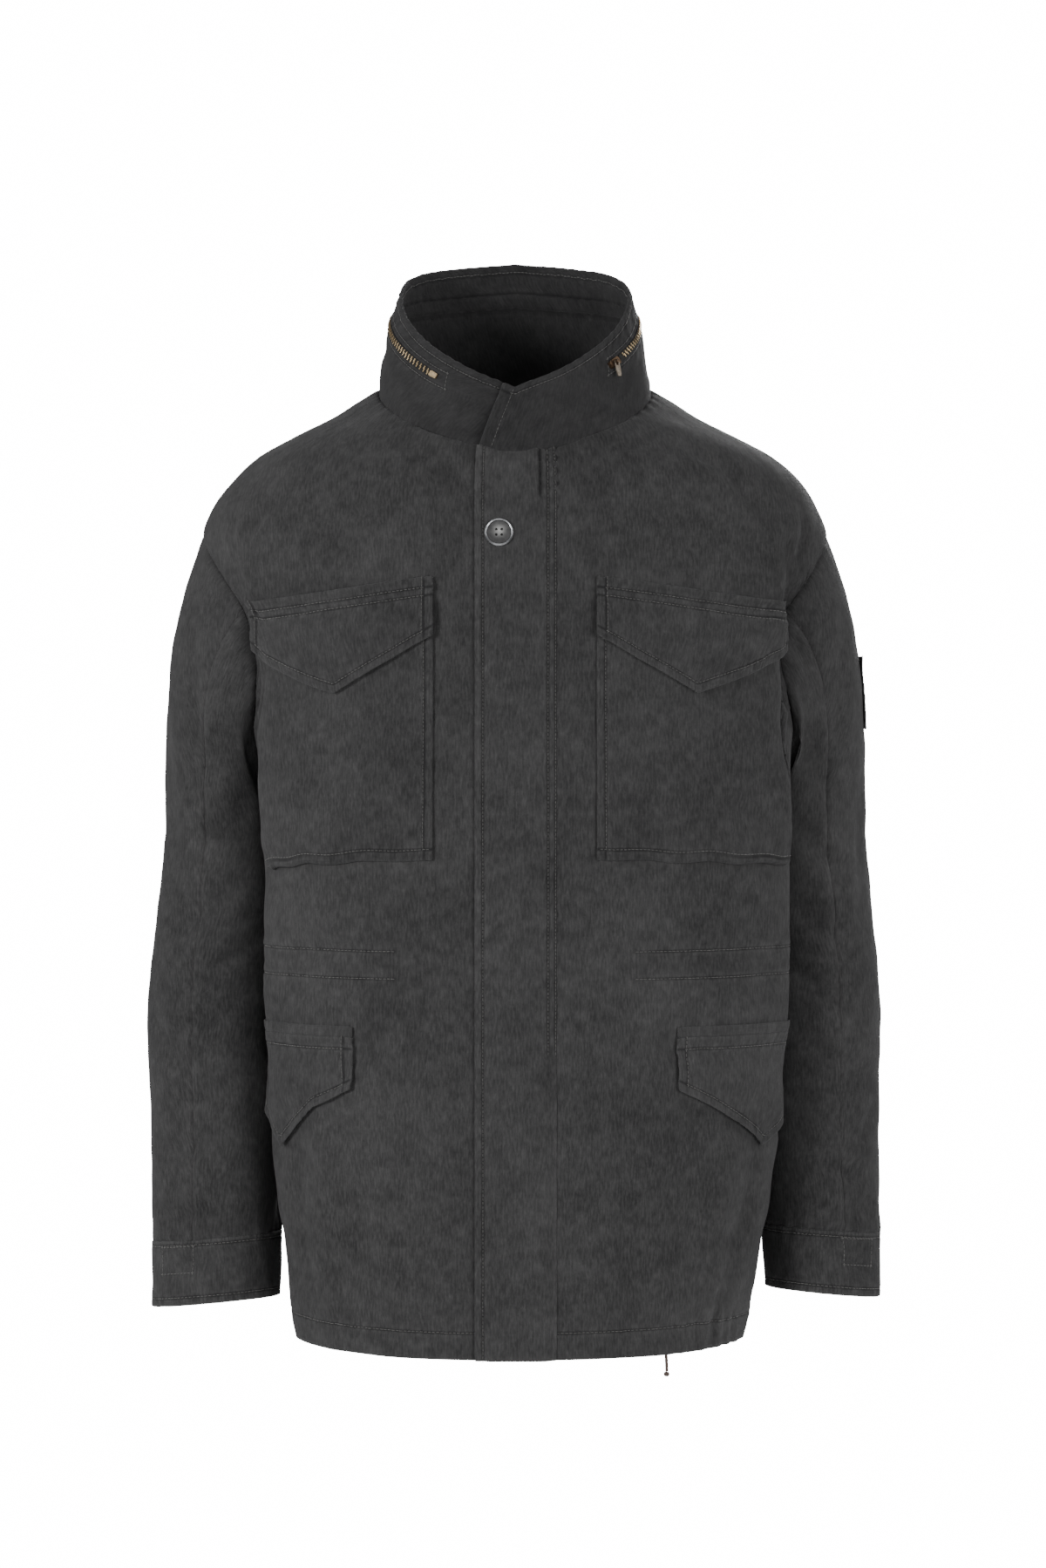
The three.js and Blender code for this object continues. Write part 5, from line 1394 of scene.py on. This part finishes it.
makeCollar()
zipValues = {"thick": 1.3, "gap": 0.3, "pitch": 4.4, "toothLong": 2.9, "toothWide": 0.95, "toothHigh": 1.1,
             "apart": 1.1, "start": 6.25, "stop": 31.22, "tapeShare": 0.4}


def makeZipTape():
    thick = zipValues["thick"] * zipValues["tapeShare"]
    columnsOf = np.linspace(*collarValues["zipColumns"], 200)
    rowsOf = np.linspace(*collarValues["zipRows"], 6)
    p = collarPoint(*np.meshgrid(columnsOf, rowsOf))
    n = gridNormals(p)
    p = settle(p, n, np.full(p.shape[:2], zipValues["gap"] + thick + 0.3))
    u, v = gridLengths(p)
    cloth = clothPiece("zipTapeCloth", rowsOf, columnsOf, p, n, thick, 0.4 * edgeWear(u, v))
    declare(cloth, ["collar_zip"], "tape")
    return cloth


zipTape = makeZipTape()
print("jacket: collar made")


# Stitches and zip teeth, by Geometry Nodes along their paths
def rowTree(name, inputs, onePiece, soft):  # one small piece at even steps along each path
    geometry = ("Geometry", "Geometry", None)
    tree, given, result, names = nodeGroup(name, "GeometryNodeTree", (
        geometry, ("Pitch", "Float", 0.003), ("Finish", "Material", None), *inputs), (geometry[:2],))
    lines = wire(tree, "GeometryNodeMeshToCurve", {"Mesh": given["Geometry"]}).outputs[0]
    even = wire(tree, "GeometryNodeResampleCurve", {"Curve": lines, "Length": given["Pitch"]}, mode="LENGTH")
    spread = wire(tree, "GeometryNodeInstanceOnPoints", {"Points": even.outputs[0], **onePiece(tree, given)})
    real = wire(tree, "GeometryNodeRealizeInstances", {"Geometry": spread.outputs[0]})
    if soft:
        real = wire(tree, "GeometryNodeSetShadeSmooth", {"Geometry": real.outputs[0]})
    last = wire(tree, "GeometryNodeSetMaterial", {"Geometry": real.outputs[0], "Material": given["Finish"]})
    tree.links.new(last.outputs[0], result[0])
    return tree, names


def turnedTo(tree, vector, **settings):
    return wire(tree, "FunctionNodeAlignRotationToVector", {"Vector": vector}, **settings)


def oneStitch(tree, given):
    bar = wire(tree, "GeometryNodeMeshCylinder", {"Vertices": 5, "Radius": given["Thread Radius"],
                                                  "Depth": given["Stitch Length"]})
    turned = turnedTo(tree, wire(tree, "GeometryNodeInputTangent").outputs[0], axis="Z")
    sizes = wire(tree, "FunctionNodeRandomValue", {2: 0.88, 3: 1.08, "Seed": given["Seed"]},
                 data_type="FLOAT")
    return {"Instance": bar.outputs["Mesh"], "Rotation": turned.outputs[0], "Scale": sizes.outputs[1]}


def oneTooth(tree, given):
    block = wire(tree, "GeometryNodeMeshCube", {"Size": given["Tooth Size"]})
    along = turnedTo(tree, wire(tree, "GeometryNodeInputTangent").outputs[0], axis="Y")
    outwards = wire(tree, "GeometryNodeInputNamedAttribute", {"Name": "outward"}, data_type="FLOAT_VECTOR")
    facing = turnedTo(tree, outwards.outputs[0], axis="Z", pivot_axis="Y")
    tree.links.new(along.outputs[0], facing.inputs["Rotation"])
    return {"Instance": block.outputs["Mesh"], "Rotation": facing.outputs[0]}


def pathObject(name, paths):
    points, edges = [], []
    for path in paths:
        start = len(points)
        points += path.tolist()
        edges += [(start + i, start + i + 1) for i in range(len(path) - 1)]
    mesh = bpy.data.meshes.new(name)
    mesh.from_pydata(points, edges, [])
    return linkPiece(name, mesh)


def grow(name, source, tree, names, values):
    modifier = source.modifiers.new("rows", "NODES")
    modifier.node_group = tree
    for label, value in values.items():
        modifier[names[label]] = value
    mesh = bpy.data.meshes.new_from_object(source.evaluated_get(bpy.context.evaluated_depsgraph_get()))
    mesh.name = name
    piece = linkPiece(name, mesh)
    bpy.data.objects.remove(source)
    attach(piece, "root")
    mesh.calc_loop_triangles()
    print(f"{name}: {len(mesh.loop_triangles)} triangles")


threadValues = {"body": (0.0034, 0.0027, 0.0003), "front": (0.0032, 0.0025, 0.0003),
                "sleeves": (0.0034, 0.0027, 0.0003), "collar": (0.0032, 0.0025, 0.0003)}
stitchTree, stitchNames = rowTree("stitchRows", (
    ("Stitch Length", "Float", 0.0024), ("Thread Radius", "Float", 0.00028), ("Seed", "Int", 3),
), oneStitch, True)
for group, (pitch, long, radius) in threadValues.items():
    grow(f"{group}Stitches", pathObject(f"{group}Path", stitchLines[group]), stitchTree, stitchNames,
         {"Pitch": pitch, "Stitch Length": long, "Thread Radius": radius, "Finish": sewingThread})


def makeTeeth():
    tree, names = rowTree("zipTeeth", (("Tooth Size", "Vector", (0.0029, 0.0015, 0.001)),), oneTooth, False)
    size = tuple(zipValues[key] * metres for key in ("toothLong", "toothWide", "toothHigh"))
    columnsOf = np.linspace(zipValues["start"], zipValues["stop"], 400)
    for side, shift, columnsOf in (("upper", 1, columnsOf), ("lower", -1, columnsOf[2:])):
        tall = np.linalg.norm(collarPoint(columnsOf, 1.0) - collarPoint(columnsOf, 0.0), axis=-1)
        share = sum(collarValues["zipRows"]) / 2 + shift * zipValues["apart"] / tall
        path = onCloth(zipTape, share, columnsOf, 0.35)
        facing = onCloth(zipTape, share, columnsOf, 1.35) - path
        source = pathObject(f"{side}TeethPath", [path])
        mark = source.data.attributes.new("outward", "FLOAT_VECTOR", "POINT")
        mark.data.foreach_set("vector", unit(facing).ravel())
        grow(f"{side}Teeth", source, tree, names, {
            "Tooth Size": size, "Pitch": zipValues["pitch"] * metres, "Finish": brass})


makeTeeth()
print("jacket: stitches and zip teeth made")

# Floor, light and surroundings
lightValues = {
    "floor": -1.32, "floorSize": 1.3, "floorSides": 96, "sky": 0.23, "seen": 16.0,
    "lights": (("keyLight", (-2.3, -2.3, 0.15), 0.9, 98), ("fillLight", (1.9, -2.6, -0.2), 1.4, 70),
               ("topLight", (0.1, -0.6, 1.9), 1.2, 3), ("lowLight", (0, -2.5, -1.1), 1.2, 5),
               ("backLight", (0.9, 2.9, 1.2), 1.4, 110), ("leftSideLight", (2.9, 0.4, 0.6), 1.2, 36),
               ("rightSideLight", (-2.9, 0.4, 0.6), 1.2, 36)),
    "aim": (0, 0, -0.38),
}


def makeSurroundings():
    mesh = bpy.data.meshes.new("floor")
    size, sides, height = (lightValues[key] for key in ("floorSize", "floorSides", "floor"))
    angles = np.linspace(0, 2 * math.pi, sides, endpoint=False)
    corners = [(size * math.cos(a), size * math.sin(a), height) for a in angles]
    mesh.from_pydata(corners, [], [tuple(range(sides))])
    floor = linkPiece("floor", mesh)
    material, tree, shader = newMaterial("paleFloor", Roughness=0.9)
    noise = wire(tree, "ShaderNodeTexNoise", {"Scale": 3.0, "Detail": 3.0}).outputs[0]
    colour = mixColours(tree, noise, (0.78, 0.78, 0.78, 1), (0.84, 0.84, 0.84, 1))
    tree.links.new(colour, shader.inputs["Base Color"])
    mesh.materials.append(material)
    world = bpy.data.worlds.new("studio")
    world.use_nodes = True
    bpy.context.scene.world = world
    tree = world.node_tree
    soft = tree.nodes["Background"]
    soft.inputs["Color"].default_value = (1, 1, 1, 1)
    soft.inputs["Strength"].default_value = lightValues["sky"]
    seen = wire(tree, "ShaderNodeBackground", {"Color": (1, 1, 1, 1), "Strength": lightValues["seen"]})
    blend = wire(tree, "ShaderNodeMixShader", {0: wire(tree, "ShaderNodeLightPath").outputs["Is Camera Ray"]})
    tree.links.new(soft.outputs[0], blend.inputs[1])
    tree.links.new(seen.outputs[0], blend.inputs[2])
    tree.links.new(blend.outputs[0], tree.nodes["World Output"].inputs["Surface"])
    for name, place, size, power in lightValues["lights"]:
        data = bpy.data.lights.new(name, "AREA")
        data.size, data.energy = size, power
        lamp = linkPiece(name, data)
        aimAt(lamp, place, lightValues["aim"])


makeSurroundings()
